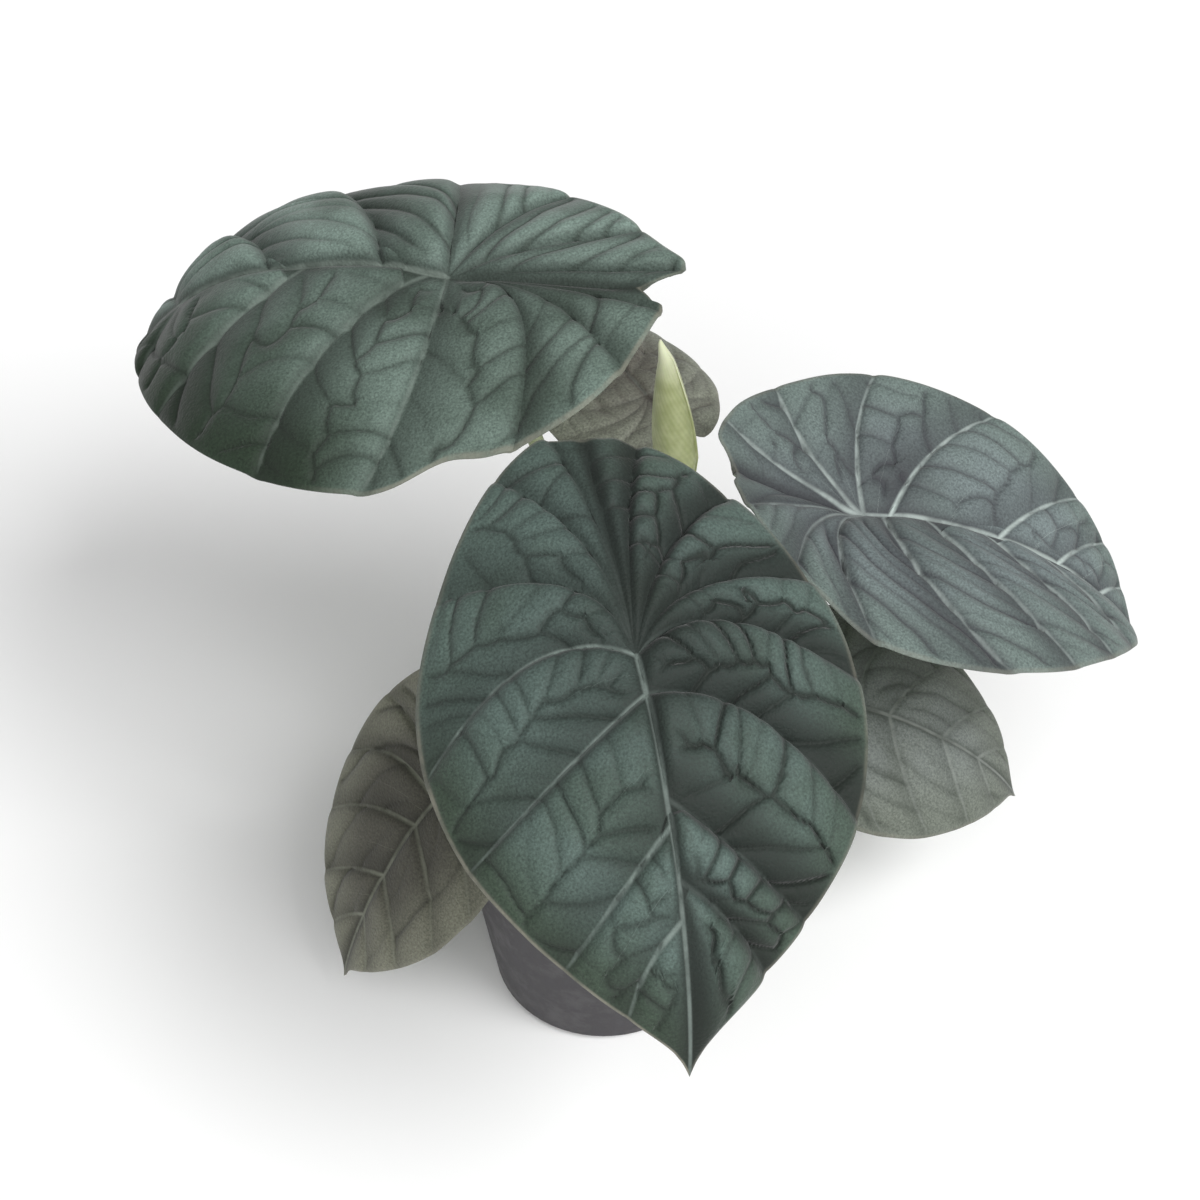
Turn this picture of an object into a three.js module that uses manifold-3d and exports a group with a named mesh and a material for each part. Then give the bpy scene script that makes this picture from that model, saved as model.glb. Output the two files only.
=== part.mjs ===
// Potted maharani alocasia: a small aroid with thick, quilted, grey-green leaves, in a nursery pot.
// Millimetres, +Z up. The origin is the centre of the pot's base, and -Y is the front.
import * as THREE from 'three';
import * as BufferGeometryUtils from 'three/addons/utils/BufferGeometryUtils.js';
import Module from 'manifold-3d';

const wasm = await Module();
wasm.setup();

// Driving dimensions of the pot
const potHeight = 92;
const potRimRadius = 52.5;
const potBaseRadius = 38;
const potWall = 1.6;
const potFloor = 2;
const potBaseRound = 2.5;
const lipHeight = 9;
const lipStep = 1.3;
const lipEdge = 0.5;
const drainCount = 6;
const drainRadius = 3.5;
const drainRing = 25;

// Driving dimensions of the soil, the corm and the feet of the stalks
const seatGap = 0.3;
const soilTop = 80;
const soilEdge = 4;
const soilCrumb = 1.2;
const cormRadius = 15.5;
const cormBase = 52;
const cormTop = 85;
const cormSwell = 14;
const cormShoulder = 6;
const footRing = 9.2;
const footRadius = 3.9;
const footDepth = 10;

// Driving dimensions that every leaf shares
const bladeThickness = 1.1;
const midribDepth = 1.6;
const veinRibDepth = 0.7;
const midribReach = 0.07;
const midribTipShare = 0.4;
const quiltShare = 0.05;
const quiltSteepness = 0.28;
const quiltRise = 0.15;
const quiltFade = 0.7;
const quiltShape = 0.8;
const quiltLean = 0.75;
const furrowShare = 0.007;
const veinMerge = 0.12;
const lobeBend = 0.45;
const droopShape = 1.5;
const stalkNeckRadius = 3;
const stalkTopRadius = 2.4;
const sheathShare = 0.3;

// Half a leaf's outline, as shares: x of the lobe (back) or of the blade (ahead), y of the half width
const lobeOutline = [[-0.86, 0.49], [-0.56, 0.75], [-0.14, 0.96]];
const foreOutline = [
  [0.16, 1], [0.42, 0.885], [0.62, 0.66], [0.78, 0.385], [0.9, 0.12], [0.95, 0.042], [1, 0],
];

// The primary veins of half a leaf, from the notch to the tip: the angle at which each one leaves the
// midrib, its start as a share of the blade ahead of the joint, its end as a share of the margin
const usualVeins = {
  angles: [180, 168, 156, 142, 104, 70, 58, 48, 0],
  starts: [0, 0, 0, 0, 0, 0.13, 0.4, 0.62, 0.985],
  ends: [0, 0.09, 0.24, 0.385, 0.545, 0.67, 0.79, 0.89, 1],
};

// The leaves. joint is where the stalk meets the blade. heading turns the blade about Z from +X,
// pitch dips its tip and roll lifts its left half. fore, notch, back and wide are lengths from the
// joint. droop and lobeDroop curl the tip and the lobes down, fold and fall are the slopes of a half
// beside the midrib and at the margin. slim narrows a lobe, and lobe is how far its end stands from
// the midrib, as a share of the half width. dents are the places where the margin is drawn in: a share
// of the margin, a depth and a spread. quilt is how much a half swells, as a share of the most. Of the
// stalk, foot is its place round the corm as an angle, and low and high are the points that it bends
// towards on its way up.
const leaves = [
  {
    name: 'back_left', joint: [-50, 82, 245], heading: 164, pitch: 6.5, roll: -8,
    fore: 143, notch: 64, droop: 62, lobeDroop: -2, fold: 0, columns: 3, rows: 12,
    left: {
      wide: 84, back: 73, lobe: 0.12, slim: 0, fall: 16, dents: [[0.352, 7, 0.045]], quilt: 0.5,
      angles: [180, 180, 182, 188, 100, 46, 43, 45, 0],
      starts: [0, 0, 0, 0, 0, 0.04, 0.34, 0.72, 0.985],
      ends: [0, 0.045, 0.13, 0.27, 0.433, 0.562, 0.755, 0.87, 1],
    },
    right: {
      wide: 66, back: 76, lobe: 0.17, slim: 0.5, fall: 40, quilt: 0.6,
      angles: [180, 172, 148, 112, 82, 67, 61, 55, 0],
      starts: [0, 0, 0, 0, 0, 0.15, 0.44, 0.75, 0.985],
      ends: [0, 0.055, 0.16, 0.311, 0.478, 0.651, 0.812, 0.91, 1],
    },
    stalk: { foot: 130, low: [-3, 18, 150], high: [-13, 66, 190] },
  },
  {
    name: 'front', joint: [9.5, -62, 223.5], heading: -78, pitch: 22, roll: -4,
    fore: 128, notch: 76, droop: 57, lobeDroop: 21, fold: 15, columns: 3, rows: 12,
    left: {
      wide: 70.5, back: 76, lobe: 0.2, slim: 0, fall: 15.5, quilt: 0.9,
      angles: [180, 176, 164, 150, 130, 96, 52, 52, 0],
      starts: [0, 0, 0, 0, 0, 0.1, 0.34, 0.52, 0.985],
      ends: [0, 0.07, 0.19, 0.33, 0.465, 0.647, 0.784, 0.858, 1],
    },
    right: {
      wide: 71, back: 81, lobe: 0.2, slim: 0.1, fall: 42, quilt: 0.7,
      angles: [180, 180, 178, 172, 121, 60, 46, 50, 0],
      starts: [0, 0, 0, 0, 0, 0.1, 0.4, 0.61, 0.985],
      ends: [0, 0.04, 0.12, 0.285, 0.511, 0.648, 0.812, 0.9, 1],
    },
    stalk: { foot: 270, low: [1, -10, 150], high: [6, -28, 182] },
  },
  {
    name: 'right', joint: [84.5, 41, 180], heading: 5, pitch: 16, roll: 0.5,
    fore: 126, notch: 48, droop: 51, lobeDroop: -24, fold: -19, columns: 3, rows: 10,
    left: {
      wide: 52, back: 57, lobe: 0.2, slim: 0, fall: -13, quilt: 0.3,
      angles: [180, 170, 151, 107, 68, 52, 52, 48, 0],
      starts: [0, 0, 0, 0, 0.068, 0.38, 0.58, 0.76, 0.985],
      ends: [0, 0.09, 0.221, 0.407, 0.595, 0.765, 0.84, 0.91, 1],
    },
    right: {
      wide: 69, back: 53, lobe: 0.2, slim: 0, fall: 13.5, quilt: 0.36,
      angles: [180, 168, 158, 147, 98, 69, 58, 50, 0],
      starts: [0, 0, 0, 0, 0.05, 0.165, 0.33, 0.52, 0.985],
      ends: [0, 0.09, 0.21, 0.347, 0.54, 0.65, 0.74, 0.82, 1],
    },
    stalk: { foot: 20, low: [9, 5, 140], high: [54, 34, 139] },
  },
  {
    name: 'back', joint: [14, 94, 184], heading: 124, pitch: 0, roll: 0,
    fore: 76, notch: 22, droop: 30, lobeDroop: 10, fold: 0, columns: 2, rows: 8,
    left: { ...usualVeins, wide: 34, back: 27, lobe: 0.2, slim: 0, fall: 25, quilt: 0.6 },
    right: { ...usualVeins, wide: 27, back: 27, lobe: 0.2, slim: 0, fall: 25, quilt: 0.6 },
    stalk: { foot: 75, low: [2, 12, 140], high: [13, 66, 145] },
  },
  {
    name: 'low_right', joint: [87, 24, 105], heading: -4, pitch: 24, roll: 18,
    fore: 80, notch: 38, droop: 48, lobeDroop: 10, fold: 2, columns: 2, rows: 8,
    left: { ...usualVeins, wide: 43, back: 44, lobe: 0.2, slim: 0, fall: 24, quilt: 0.35 },
    right: { ...usualVeins, wide: 41, back: 42, lobe: 0.2, slim: 0, fall: 31, quilt: 0.35 },
    stalk: { foot: 325, low: [9, -5, 120], high: [64, 23, 90] },
  },
  {
    name: 'low_left', joint: [-56, -18, 105], heading: -157, pitch: 56, roll: -10,
    fore: 88, notch: 46, droop: 26, lobeDroop: -8, fold: -3, columns: 2, rows: 8,
    left: { ...usualVeins, wide: 37, back: 54, lobe: 0.2, slim: 0, fall: 21, quilt: 0.3 },
    right: { ...usualVeins, wide: 45, back: 52, lobe: 0.2, slim: 0, fall: 13, quilt: 0.35 },
    stalk: { foot: 200, low: [-9, -4, 118], high: [-36, -11, 96] },
  },
];

// The rolled new leaf: a spindle wrapped once round itself, on a stalk from the middle of the corm
const rolledBase = [23.5, 29, 198];
const rolledTip = [18, 33, 259];
const rolledRadius = 7.3;
const rolledOverlap = 0.9;
const rolledTurn = 60;
const rolledTwist = 50;
const rolledBelly = 0.25;
const rolledFootShare = 0.6;
const rolledTipShape = 0.8;
const rolledStalkRadius = 3.2;
const rolledStalkLow = [0, 2, 146];
const rolledStalkHigh = [25, 25, 150];

// Materials
const material = (color, roughness) => new THREE.MeshStandardMaterial({ color, roughness, metalness: 0 });
const plastic = material(0x45474c, 0.5);
const pottingMix = material(0x3a2e25, 0.95);
const cormSkin = material(0x6b5b43, 0.85);
const stalkSkin = material(0x8b8f66, 0.55);
const leafSkin = material(0x4f5f58, 0.6);
const rolledSkin = material(0xb4bc86, 0.5);

const group = new THREE.Group();
const radians = THREE.MathUtils.degToRad;
const mix = THREE.MathUtils.lerp;

// One closed geometry from corner points and triangles: shared corners are merged, and triangles
// that have shrunk to a line or a point are dropped
function welded(geometry) {
  const merged = BufferGeometryUtils.mergeVertices(geometry, 1e-3);
  const index = merged.index.array;
  const kept = [];
  for (let i = 0; i < index.length; i += 3) {
    const [a, b, c] = [index[i], index[i + 1], index[i + 2]];
    if (a !== b && b !== c && c !== a) kept.push(a, b, c);
  }
  merged.setIndex(kept);
  return merged;
}

function closedGeometry(points, triangles) {
  const loose = new THREE.BufferGeometry();
  const corners = points.flatMap((p) => [p.x, p.y, p.z]);
  loose.setAttribute('position', new THREE.Float32BufferAttribute(corners, 3));
  loose.setIndex(triangles.flat());
  return welded(loose);
}

// Two triangles for each cell of a grid of corners numbered row by row
function gridTriangles(rows, columns, first, flip) {
  const triangles = [];
  for (let r = 0; r < rows; r++) {
    for (let c = 0; c < columns; c++) {
      const a = first + r * (columns + 1) + c;
      const [b, d, e] = [a + 1, a + columns + 1, a + columns + 2];
      if (flip) triangles.push([a, d, b], [b, d, e]);
      else triangles.push([a, b, d], [b, e, d]);
    }
  }
  return triangles;
}

// A closed solid swept through rings of corners that all have the same count, with flat ends
function ringSolid(rings) {
  const sides = rings[0].length;
  const points = rings.flatMap((ring) => [...ring, ring[0]]);
  const triangles = gridTriangles(rings.length - 1, sides, 0, false);
  const last = (rings.length - 1) * (sides + 1);
  for (let i = 1; i < sides - 1; i++) {
    triangles.push([0, i + 1, i], [last, last + i, last + i + 1]);
  }
  return closedGeometry(points, triangles);
}

// Joins and cuts
function toManifold(geometry) {
  const bare = geometry.clone();
  bare.deleteAttribute('normal');
  bare.deleteAttribute('uv');
  const closed = welded(bare);
  return new wasm.Manifold(new wasm.Mesh({
    numProp: 3,
    vertProperties: new Float32Array(closed.attributes.position.array),
    triVerts: new Uint32Array(closed.index.array),
  }));
}

function fromManifold(solid) {
  const mesh = solid.getMesh();
  const geometry = new THREE.BufferGeometry();
  geometry.setAttribute('position', new THREE.BufferAttribute(mesh.vertProperties, 3));
  geometry.setIndex(new THREE.BufferAttribute(mesh.triVerts, 1));
  return geometry;
}

function upright(radius, height, sides, x, y, bottom) {
  const geometry = new THREE.CylinderGeometry(radius, radius, height, sides);
  geometry.rotateX(Math.PI / 2);
  geometry.translate(x, y, bottom + height / 2);
  return geometry;
}

// A turned solid from a profile of [radius, height] points that starts and ends on the axis
function turned(profile, sides) {
  const geometry = new THREE.LatheGeometry(profile.map(([r, z]) => new THREE.Vector2(r, z)), sides);
  geometry.rotateX(Math.PI / 2);
  return geometry;
}

function addNode(name, geometry, skin) {
  const mesh = new THREE.Mesh(geometry, skin);
  mesh.name = name;
  group.add(mesh);
  return mesh;
}

// Pot
function potOutside(z) {
  return mix(potBaseRadius, potRimRadius - lipStep, z / potHeight);
}

function makePot() {
  const lipBottom = potHeight - lipHeight;
  const profile = [
    [0, 0], [potBaseRadius - potBaseRound, 0], [potOutside(potBaseRound), potBaseRound],
    [potOutside(lipBottom - 2 * lipEdge), lipBottom - 2 * lipEdge], [potRimRadius - lipEdge, lipBottom],
    [potRimRadius, potHeight - 2 * lipEdge], [potRimRadius - lipEdge, potHeight],
    [potOutside(potHeight) - potWall, potHeight], [potOutside(potFloor) - potWall, potFloor], [0, potFloor],
  ];
  let solid = toManifold(turned(profile, 64));
  for (let i = 0; i < drainCount; i++) {
    const angle = 2 * Math.PI * (i + 0.5) / drainCount;
    const [x, y] = [drainRing * Math.cos(angle), drainRing * Math.sin(angle)];
    const hole = upright(drainRadius, potFloor + 2, 16, x, y, -1);
    solid = solid.subtract(toManifold(hole));
  }
  addNode('pot', fromManifold(solid), plastic);
}

// Soil: a turned fill with a plain hole for the corm, its top raised into crumbs by a formula
function crumbHeight(x, y) {
  const coarse = Math.sin(0.31 * x + 1.3) * Math.cos(0.27 * y - 0.4) + 0.6 * Math.sin(0.19 * (x + y));
  const fine = Math.sin(0.83 * x - 0.6 * y) * Math.cos(0.71 * y + 0.35 * x);
  return soilCrumb * (0.6 * coarse + 0.7 * fine);
}

function makeSoil() {
  const bottom = potFloor + seatGap;
  const wall = (z) => potOutside(z) - potWall - seatGap;
  const hole = cormRadius + seatGap;
  const rings = 7;
  const shoulder = soilTop - soilEdge;
  const profile = [[0, bottom], [wall(bottom), bottom], [wall(shoulder), shoulder]];
  for (let i = 0; i <= rings; i++) profile.push([mix(wall(shoulder), hole, i / rings), soilTop]);
  profile.push([hole, cormBase - seatGap], [0, cormBase - seatGap]);
  const geometry = turned(profile, 48);
  const at = geometry.attributes.position;
  for (let i = 0; i < at.count; i++) {
    if (at.getZ(i) > soilTop - 1) at.setZ(i, soilTop + crumbHeight(at.getX(i), at.getY(i)));
  }
  addNode('soil', fromManifold(toManifold(geometry)), pottingMix);
}

// Corm: the short stem, with a plain socket for the foot of each stalk
function makeCorm(feet) {
  const profile = [
    [0, cormBase], [cormRadius * 0.7, cormBase + cormSwell / 4], [cormRadius, cormBase + cormSwell],
    [cormRadius, cormTop - cormShoulder], [cormRadius - 0.8, cormTop - cormShoulder / 4],
    [cormRadius - 2, cormTop], [0, cormTop],
  ];
  let solid = toManifold(turned(profile, 36));
  for (const [x, y] of feet) {
    const bottom = cormTop - footDepth - seatGap;
    const socket = upright(footRadius + seatGap, footDepth + seatGap + 5, 16, x, y, bottom);
    solid = solid.subtract(toManifold(socket));
  }
  addNode('corm', fromManifold(solid), cormSkin);
}

// Stalk: a tapered tube along a curve, upright in its socket, thick at its sheathing foot, and cut
// at its top along the face that it carries
function stalkRadius(share, topRadius) {
  const sheath = THREE.MathUtils.smoothstep(1 - share, 1 - sheathShare, 1);
  return mix(mix(stalkNeckRadius, topRadius, share), footRadius, sheath);
}

function makeStalk(name, foot, bends, top, topFace, topRadius) {
  const start = new THREE.Vector3(foot[0], foot[1], cormTop - footDepth);
  const mouth = start.clone().setZ(cormTop + 1);
  const [low, high] = bends.map((bend) => new THREE.Vector3(...bend));
  const topDirection = top.clone().sub(high).normalize();
  const curve = new THREE.CubicBezierCurve3(mouth, low, high, top);
  const sides = 8;
  const steps = 13;
  const frames = curve.computeFrenetFrames(steps, false);
  const ring = (centre, normal, binormal, radius) => Array.from({ length: sides }, (_, i) => {
    const angle = 2 * Math.PI * i / sides;
    return centre.clone().addScaledVector(normal, radius * Math.cos(angle))
      .addScaledVector(binormal, radius * Math.sin(angle));
  });
  const rings = [ring(start, frames.normals[0], frames.binormals[0], footRadius)];
  for (let i = 0; i <= steps; i++) {
    const share = i / steps;
    const radius = stalkRadius(share, topRadius);
    rings.push(ring(curve.getPointAt(share), frames.normals[i], frames.binormals[i], radius));
  }
  rings[0].forEach((point) => point.setZ(start.z));
  for (const point of rings.at(-1)) {
    const over = point.clone().sub(top).dot(topFace);
    point.addScaledVector(topDirection, -over / topDirection.dot(topFace));
  }
  addNode(name, ringSolid(rings), stalkSkin);
}

// How far a surface gets ahead, and how far it falls, along a length where its slope changes
function walk(slopeAt, length) {
  const steps = 24;
  let ahead = 0;
  let fall = 0;
  for (let i = 0; i < steps; i++) {
    const slope = slopeAt((i + 0.5) / steps * length);
    ahead += Math.cos(slope) * length / steps;
    fall += Math.sin(slope) * length / steps;
  }
  return [ahead, fall];
}

// A smooth value between listed ones that never overshoots them
function between(values, at) {
  const last = values.length - 1;
  const i = Math.min(Math.floor(at), last - 1);
  const step = (k) => values[k + 1] - values[k];
  const slope = (k) => {
    if (k === 0) return step(0);
    if (k === last) return step(last - 1);
    const [before, after] = [step(k - 1), step(k)];
    return before * after <= 0 ? 0 : 2 * before * after / (before + after);
  };
  const f = at - i;
  return (1 + 2 * f) * (1 - f) ** 2 * values[i] + f * (1 - f) ** 2 * slope(i)
    + f * f * (3 - 2 * f) * values[i + 1] + f * f * (f - 1) * slope(i + 1);
}

// Half a leaf's margin as a flat curve from the notch to the tip
function marginCurve(leaf, half) {
  const narrowed = (x, y) => y * (x < 0 ? 1 - half.slim * x * x : 1) * half.wide;
  const points = [
    [-leaf.notch, 0],
    [-mix(half.back, leaf.notch, lobeBend), half.lobe * lobeBend * half.wide],
    [-half.back, half.lobe * half.wide],
    ...lobeOutline.map(([x, y]) => [x * half.back, narrowed(x, y)]),
    ...foreOutline.map(([x, y]) => [x * leaf.fore, narrowed(x, y)]),
  ];
  return new THREE.SplineCurve(points.map(([x, y]) => new THREE.Vector2(x, y)));
}

// How far a dented margin is drawn in towards the midrib
function drawnIn(half, at) {
  const one = ([place, deep, spread]) => deep * Math.exp(-(((at - place) / spread) ** 2));
  return (half.dents ?? []).reduce((sum, dent) => sum + one(dent), 0);
}

// A flat point of half a leaf: vein counts the primary veins from the notch to the tip, and out is
// the share of the way from the midrib to the margin. Veins are curved like a bow.
function flatPoint(leaf, half, margin, vein, out) {
  const at = between(half.ends, vein);
  const end = margin.getPointAt(at);
  end.y = Math.max(end.y - drawnIn(half, at), 0);
  const own = between(half.starts, vein);
  const shared = (between(leaf.left.starts, vein) + between(leaf.right.starts, vein)) / 2;
  const start = mix(shared, own, THREE.MathUtils.smoothstep(out, 0, veinMerge)) * leaf.fore;
  const angle = radians(between(half.angles, vein));
  const reach = Math.hypot(end.x - start, end.y) / 2;
  const [a, b, c] = [(1 - out) ** 2, 2 * out * (1 - out), out * out];
  return [
    (a + b) * start + b * reach * Math.cos(angle) + c * end.x,
    b * reach * Math.sin(angle) + c * end.y,
  ];
}

// Relief: the blade swells between its primary veins, steeply beside the vein nearer to the notch and
// gently towards the next one, less where the veins run close, and dips a little at its cross furrows
function relief(leaf, half, margin, vein, out) {
  const swell = Math.sin(Math.PI * (vein % 1) ** quiltLean) ** quiltShape;
  const beside = [Math.floor(vein), Math.ceil(vein)];
  const [near, next] = beside.map((one) => flatPoint(leaf, half, margin, one, out));
  const width = Math.hypot(next[0] - near[0], next[1] - near[1]);
  const most = Math.min(quiltShare * leaf.fore, quiltSteepness * width) * half.quilt;
  const rise = Math.min(1, out / quiltRise);
  const furrow = 0.5 + 0.5 * Math.cos(Math.PI * out * leaf.rows);
  return rise * swell * (most * (1 - quiltFade * out ** 3) - furrowShare * leaf.fore * furrow);
}

// How far the underside lies below the top: the blade, thicker at its midrib and its veins
function depth(vein, out) {
  const onVein = Number.isInteger(vein) ? 1 : 0;
  const ahead = Math.max(0, vein / 4 - 1);
  const midrib = Math.max(0, 1 - out / midribReach) * mix(1, midribTipShare, ahead);
  return bladeThickness + Math.max(midribDepth * midrib, veinRibDepth * onVein * (1 - out));
}

// Blade: both halves of the top and of the underside, split into triangles alike
function makeBlade(leaf) {
  const columns = 8 * leaf.columns;
  const tops = [];
  const lows = [];
  const triangles = [];
  for (const side of [1, -1]) {
    const half = side > 0 ? leaf.left : leaf.right;
    const margin = marginCurve(leaf, half);
    const first = tops.length;
    for (let r = 0; r <= leaf.rows; r++) {
      for (let c = 0; c <= columns; c++) {
        const vein = c / leaf.columns;
        const out = r / leaf.rows;
        const [x, y] = flatPoint(leaf, half, margin, vein, out);
        const spineSlope = (d) => (d > 0
          ? radians(leaf.droop) * (d / leaf.fore) ** droopShape
          : radians(leaf.lobeDroop) * d / Math.max(leaf.left.back, leaf.right.back));
        const sideSlope = (d) => radians(mix(leaf.fold, half.fall, d / half.wide));
        const [ahead, drop] = walk(spineSlope, x);
        const [across, sag] = walk(sideSlope, y);
        const up = new THREE.Vector3(Math.sin(spineSlope(x)), 0, Math.cos(spineSlope(x)));
        const onSpine = new THREE.Vector3(ahead, side * across, -drop);
        const top = onSpine.addScaledVector(up, relief(leaf, half, margin, vein, out) - sag);
        tops.push(top);
        lows.push(top.clone().addScaledVector(up, -depth(vein, out)));
      }
    }
    triangles.push(...gridTriangles(leaf.rows, columns, first, side < 0).map((t) => t.map((i) => [i, 0])));
    triangles.push(...gridTriangles(leaf.rows, columns, first, side > 0).map((t) => t.map((i) => [i, 1])));
    for (let c = 0; c < columns; c++) {
      const a = first + leaf.rows * (columns + 1) + c;
      const edge = side > 0 ? [a + 1, a] : [a, a + 1];
      triangles.push([[edge[1], 0], [edge[0], 0], [edge[0], 1]]);
      triangles.push([[edge[1], 0], [edge[0], 1], [edge[1], 1]]);
    }
  }
  const numbered = triangles.map((t) => t.map(([i, low]) => i + low * tops.length));
  const mesh = addNode(`blade_${leaf.name}`, closedGeometry([...tops, ...lows], numbered), leafSkin);
  mesh.position.set(...leaf.joint);
  mesh.rotation.set(radians(leaf.roll), radians(leaf.pitch), radians(leaf.heading), 'ZYX');
  return mesh;
}

function makeLeaf(leaf, foot) {
  const mesh = makeBlade(leaf);
  const up = new THREE.Vector3(0, 0, 1).applyEuler(mesh.rotation);
  const top = mesh.position.clone().addScaledVector(up, -(bladeThickness + midribDepth + seatGap));
  makeStalk(`stalk_${leaf.name}`, foot, [leaf.stalk.low, leaf.stalk.high], top, up, stalkTopRadius);
}

// Rolled leaf: a spindle whose radius steps where its outer margin lies over the turn beneath
function makeRolledLeaf() {
  const base = new THREE.Vector3(...rolledBase);
  const tip = new THREE.Vector3(...rolledTip);
  const up = new THREE.Vector3(0, 0, 1);
  const sides = 16;
  const levels = 12;
  const rings = [];
  for (let k = 0; k <= levels; k++) {
    const share = k / levels;
    const above = (share - rolledBelly) / (1.01 - rolledBelly);
    const girth = above < 0
      ? mix(rolledFootShare, 1, share / rolledBelly)
      : Math.cos(above * Math.PI / 2) ** rolledTipShape;
    const centre = base.clone().lerp(tip, share);
    rings.push(Array.from({ length: sides }, (_, i) => {
      const wrap = i / sides;
      const angle = radians(rolledTurn + rolledTwist * share) + 2 * Math.PI * wrap;
      const radius = girth * (rolledRadius - rolledOverlap * wrap);
      const outward = new THREE.Vector3(Math.cos(angle), Math.sin(angle), 0);
      return centre.clone().addScaledVector(outward, radius);
    }));
  }
  addNode('new_leaf', ringSolid(rings), rolledSkin);
  const top = base.clone().setZ(base.z - seatGap);
  makeStalk('stalk_new_leaf', [0, 0], [rolledStalkLow, rolledStalkHigh], top, up, rolledStalkRadius);
}

makePot();
makeSoil();
const feet = leaves.map((leaf) => {
  const angle = radians(leaf.stalk.foot);
  return [footRing * Math.cos(angle), footRing * Math.sin(angle)];
});
makeCorm([[0, 0], ...feet]);
leaves.forEach((leaf, i) => makeLeaf(leaf, feet[i]));
makeRolledLeaf();

export default group;
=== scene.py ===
"""A potted maharani alocasia: quilted grey-green blades on bloomy stalks over a nursery pot.

Sizes in the tables are millimetres, in the part's frame: the origin is the centre of the pot's base,
+Z is up and -Y is the front. Meshes are made in metres.
"""

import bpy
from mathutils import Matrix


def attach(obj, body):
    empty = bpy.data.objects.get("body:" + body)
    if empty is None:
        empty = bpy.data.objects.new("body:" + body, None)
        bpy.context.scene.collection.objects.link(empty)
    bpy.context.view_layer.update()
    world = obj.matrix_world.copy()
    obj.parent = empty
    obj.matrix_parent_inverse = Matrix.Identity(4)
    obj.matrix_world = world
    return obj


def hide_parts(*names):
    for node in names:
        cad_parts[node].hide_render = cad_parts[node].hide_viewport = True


bl_info = {
    "name": "Potted maharani alocasia",
    "version": (1, 0, 0),
    "blender": (4, 5, 0),
    "location": "3D View > Sidebar > Alocasia",
    "description": "Leaves, stalks, soil and pot of a potted maharani alocasia, made over its packed frame",
    "category": "Object",
}

from functools import partial

import bmesh
import bpy
import numpy as np
from bpy.props import FloatProperty, FloatVectorProperty, IntProperty, PointerProperty
from mathutils import Vector

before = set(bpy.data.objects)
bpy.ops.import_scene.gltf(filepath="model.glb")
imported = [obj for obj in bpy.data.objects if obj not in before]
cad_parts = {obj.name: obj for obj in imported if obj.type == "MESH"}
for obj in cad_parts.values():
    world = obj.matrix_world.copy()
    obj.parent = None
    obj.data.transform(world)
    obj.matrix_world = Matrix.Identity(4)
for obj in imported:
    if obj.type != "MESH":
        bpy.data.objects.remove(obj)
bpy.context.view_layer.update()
MM = 0.001


def linear(code):
    """An sRGB hex colour as linear red, green and blue."""
    share = np.array([int(code[i:i + 2], 16) for i in (1, 3, 5)]) / 255
    return tuple(np.where(share <= 0.04045, share / 12.92, ((share + 0.055) / 1.055) ** 2.4).tolist())


# The leaf's outline, as in the part's source, as shares of the lobe's or fore part's length and of the width
LOBE_OUTLINE = [(-0.86, 0.49), (-0.56, 0.75), (-0.14, 0.96)]
FORE_OUTLINE = [(0.16, 1), (0.42, 0.885), (0.62, 0.66), (0.78, 0.385), (0.9, 0.12), (0.95, 0.042), (1, 0)]
LOBE_BEND = 0.45
DROOP_SHAPE = 1.5
VEIN_MERGE = 0.12

# The notch's edge is vein 0, the primary veins are 1 to 7, the first three in the lobe, and the tip is 8
TIP_VEIN = 8
LOBE_VEINS = 3
# The relief's lengths are those of a leaf whose tip is this far from its joint
FULL_FORE = 130


def half_leaf(wide, back, fall, **own):
    """Half a leaf, left or right of its midrib as seen from above with the tip ahead: its width, its
    lobe's length, how many degrees its margin falls, and what differs from the usual half.

    lobe and slim shape the lobe, and dents are places along the margin, depths and spreads. angles,
    starts and ends lay the veins: the angle at the midrib, the share of the fore part where one starts
    and the share of the margin where it ends. rows is how many rows of cells there are between two veins
    that are far apart, and lean is how many mm the first row leans outwards for each mm from its vein.
    pale is how much the primary veins show, swell scales the quilting, and contrast the furrows and
    their painted shade and highlight. rim and lobe_rim are the wear on the margin of the fore part and
    the lobe. bloom is the share of cool bloom, dusk how much of it is lost towards the margin, from
    dusk_reach mm inwards. hollow darkens the middle round the joint with painted shade. stain is a dark
    patch's x, y, size and strength."""
    return {
        "wide": wide, "back": back, "fall": fall, "lobe": 0.2, "slim": 0, "dents": [],
        "angles": [180, 168, 156, 142, 104, 70, 58, 48, 0],
        "starts": [0, 0, 0, 0, 0, 0.13, 0.4, 0.62, 0.985],
        "ends": [0, 0.09, 0.24, 0.385, 0.545, 0.67, 0.79, 0.89, 1],
        "rows": 2, "lean": 0.4, "pale": 0.5, "swell": 0.7, "contrast": 1, "rim": 0.3, "lobe_rim": 0.3,
        "bloom": 1, "dusk": 1, "dusk_reach": 30, "hollow": 0.25, "stain": (0, 0, 1, 0), **own}


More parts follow.
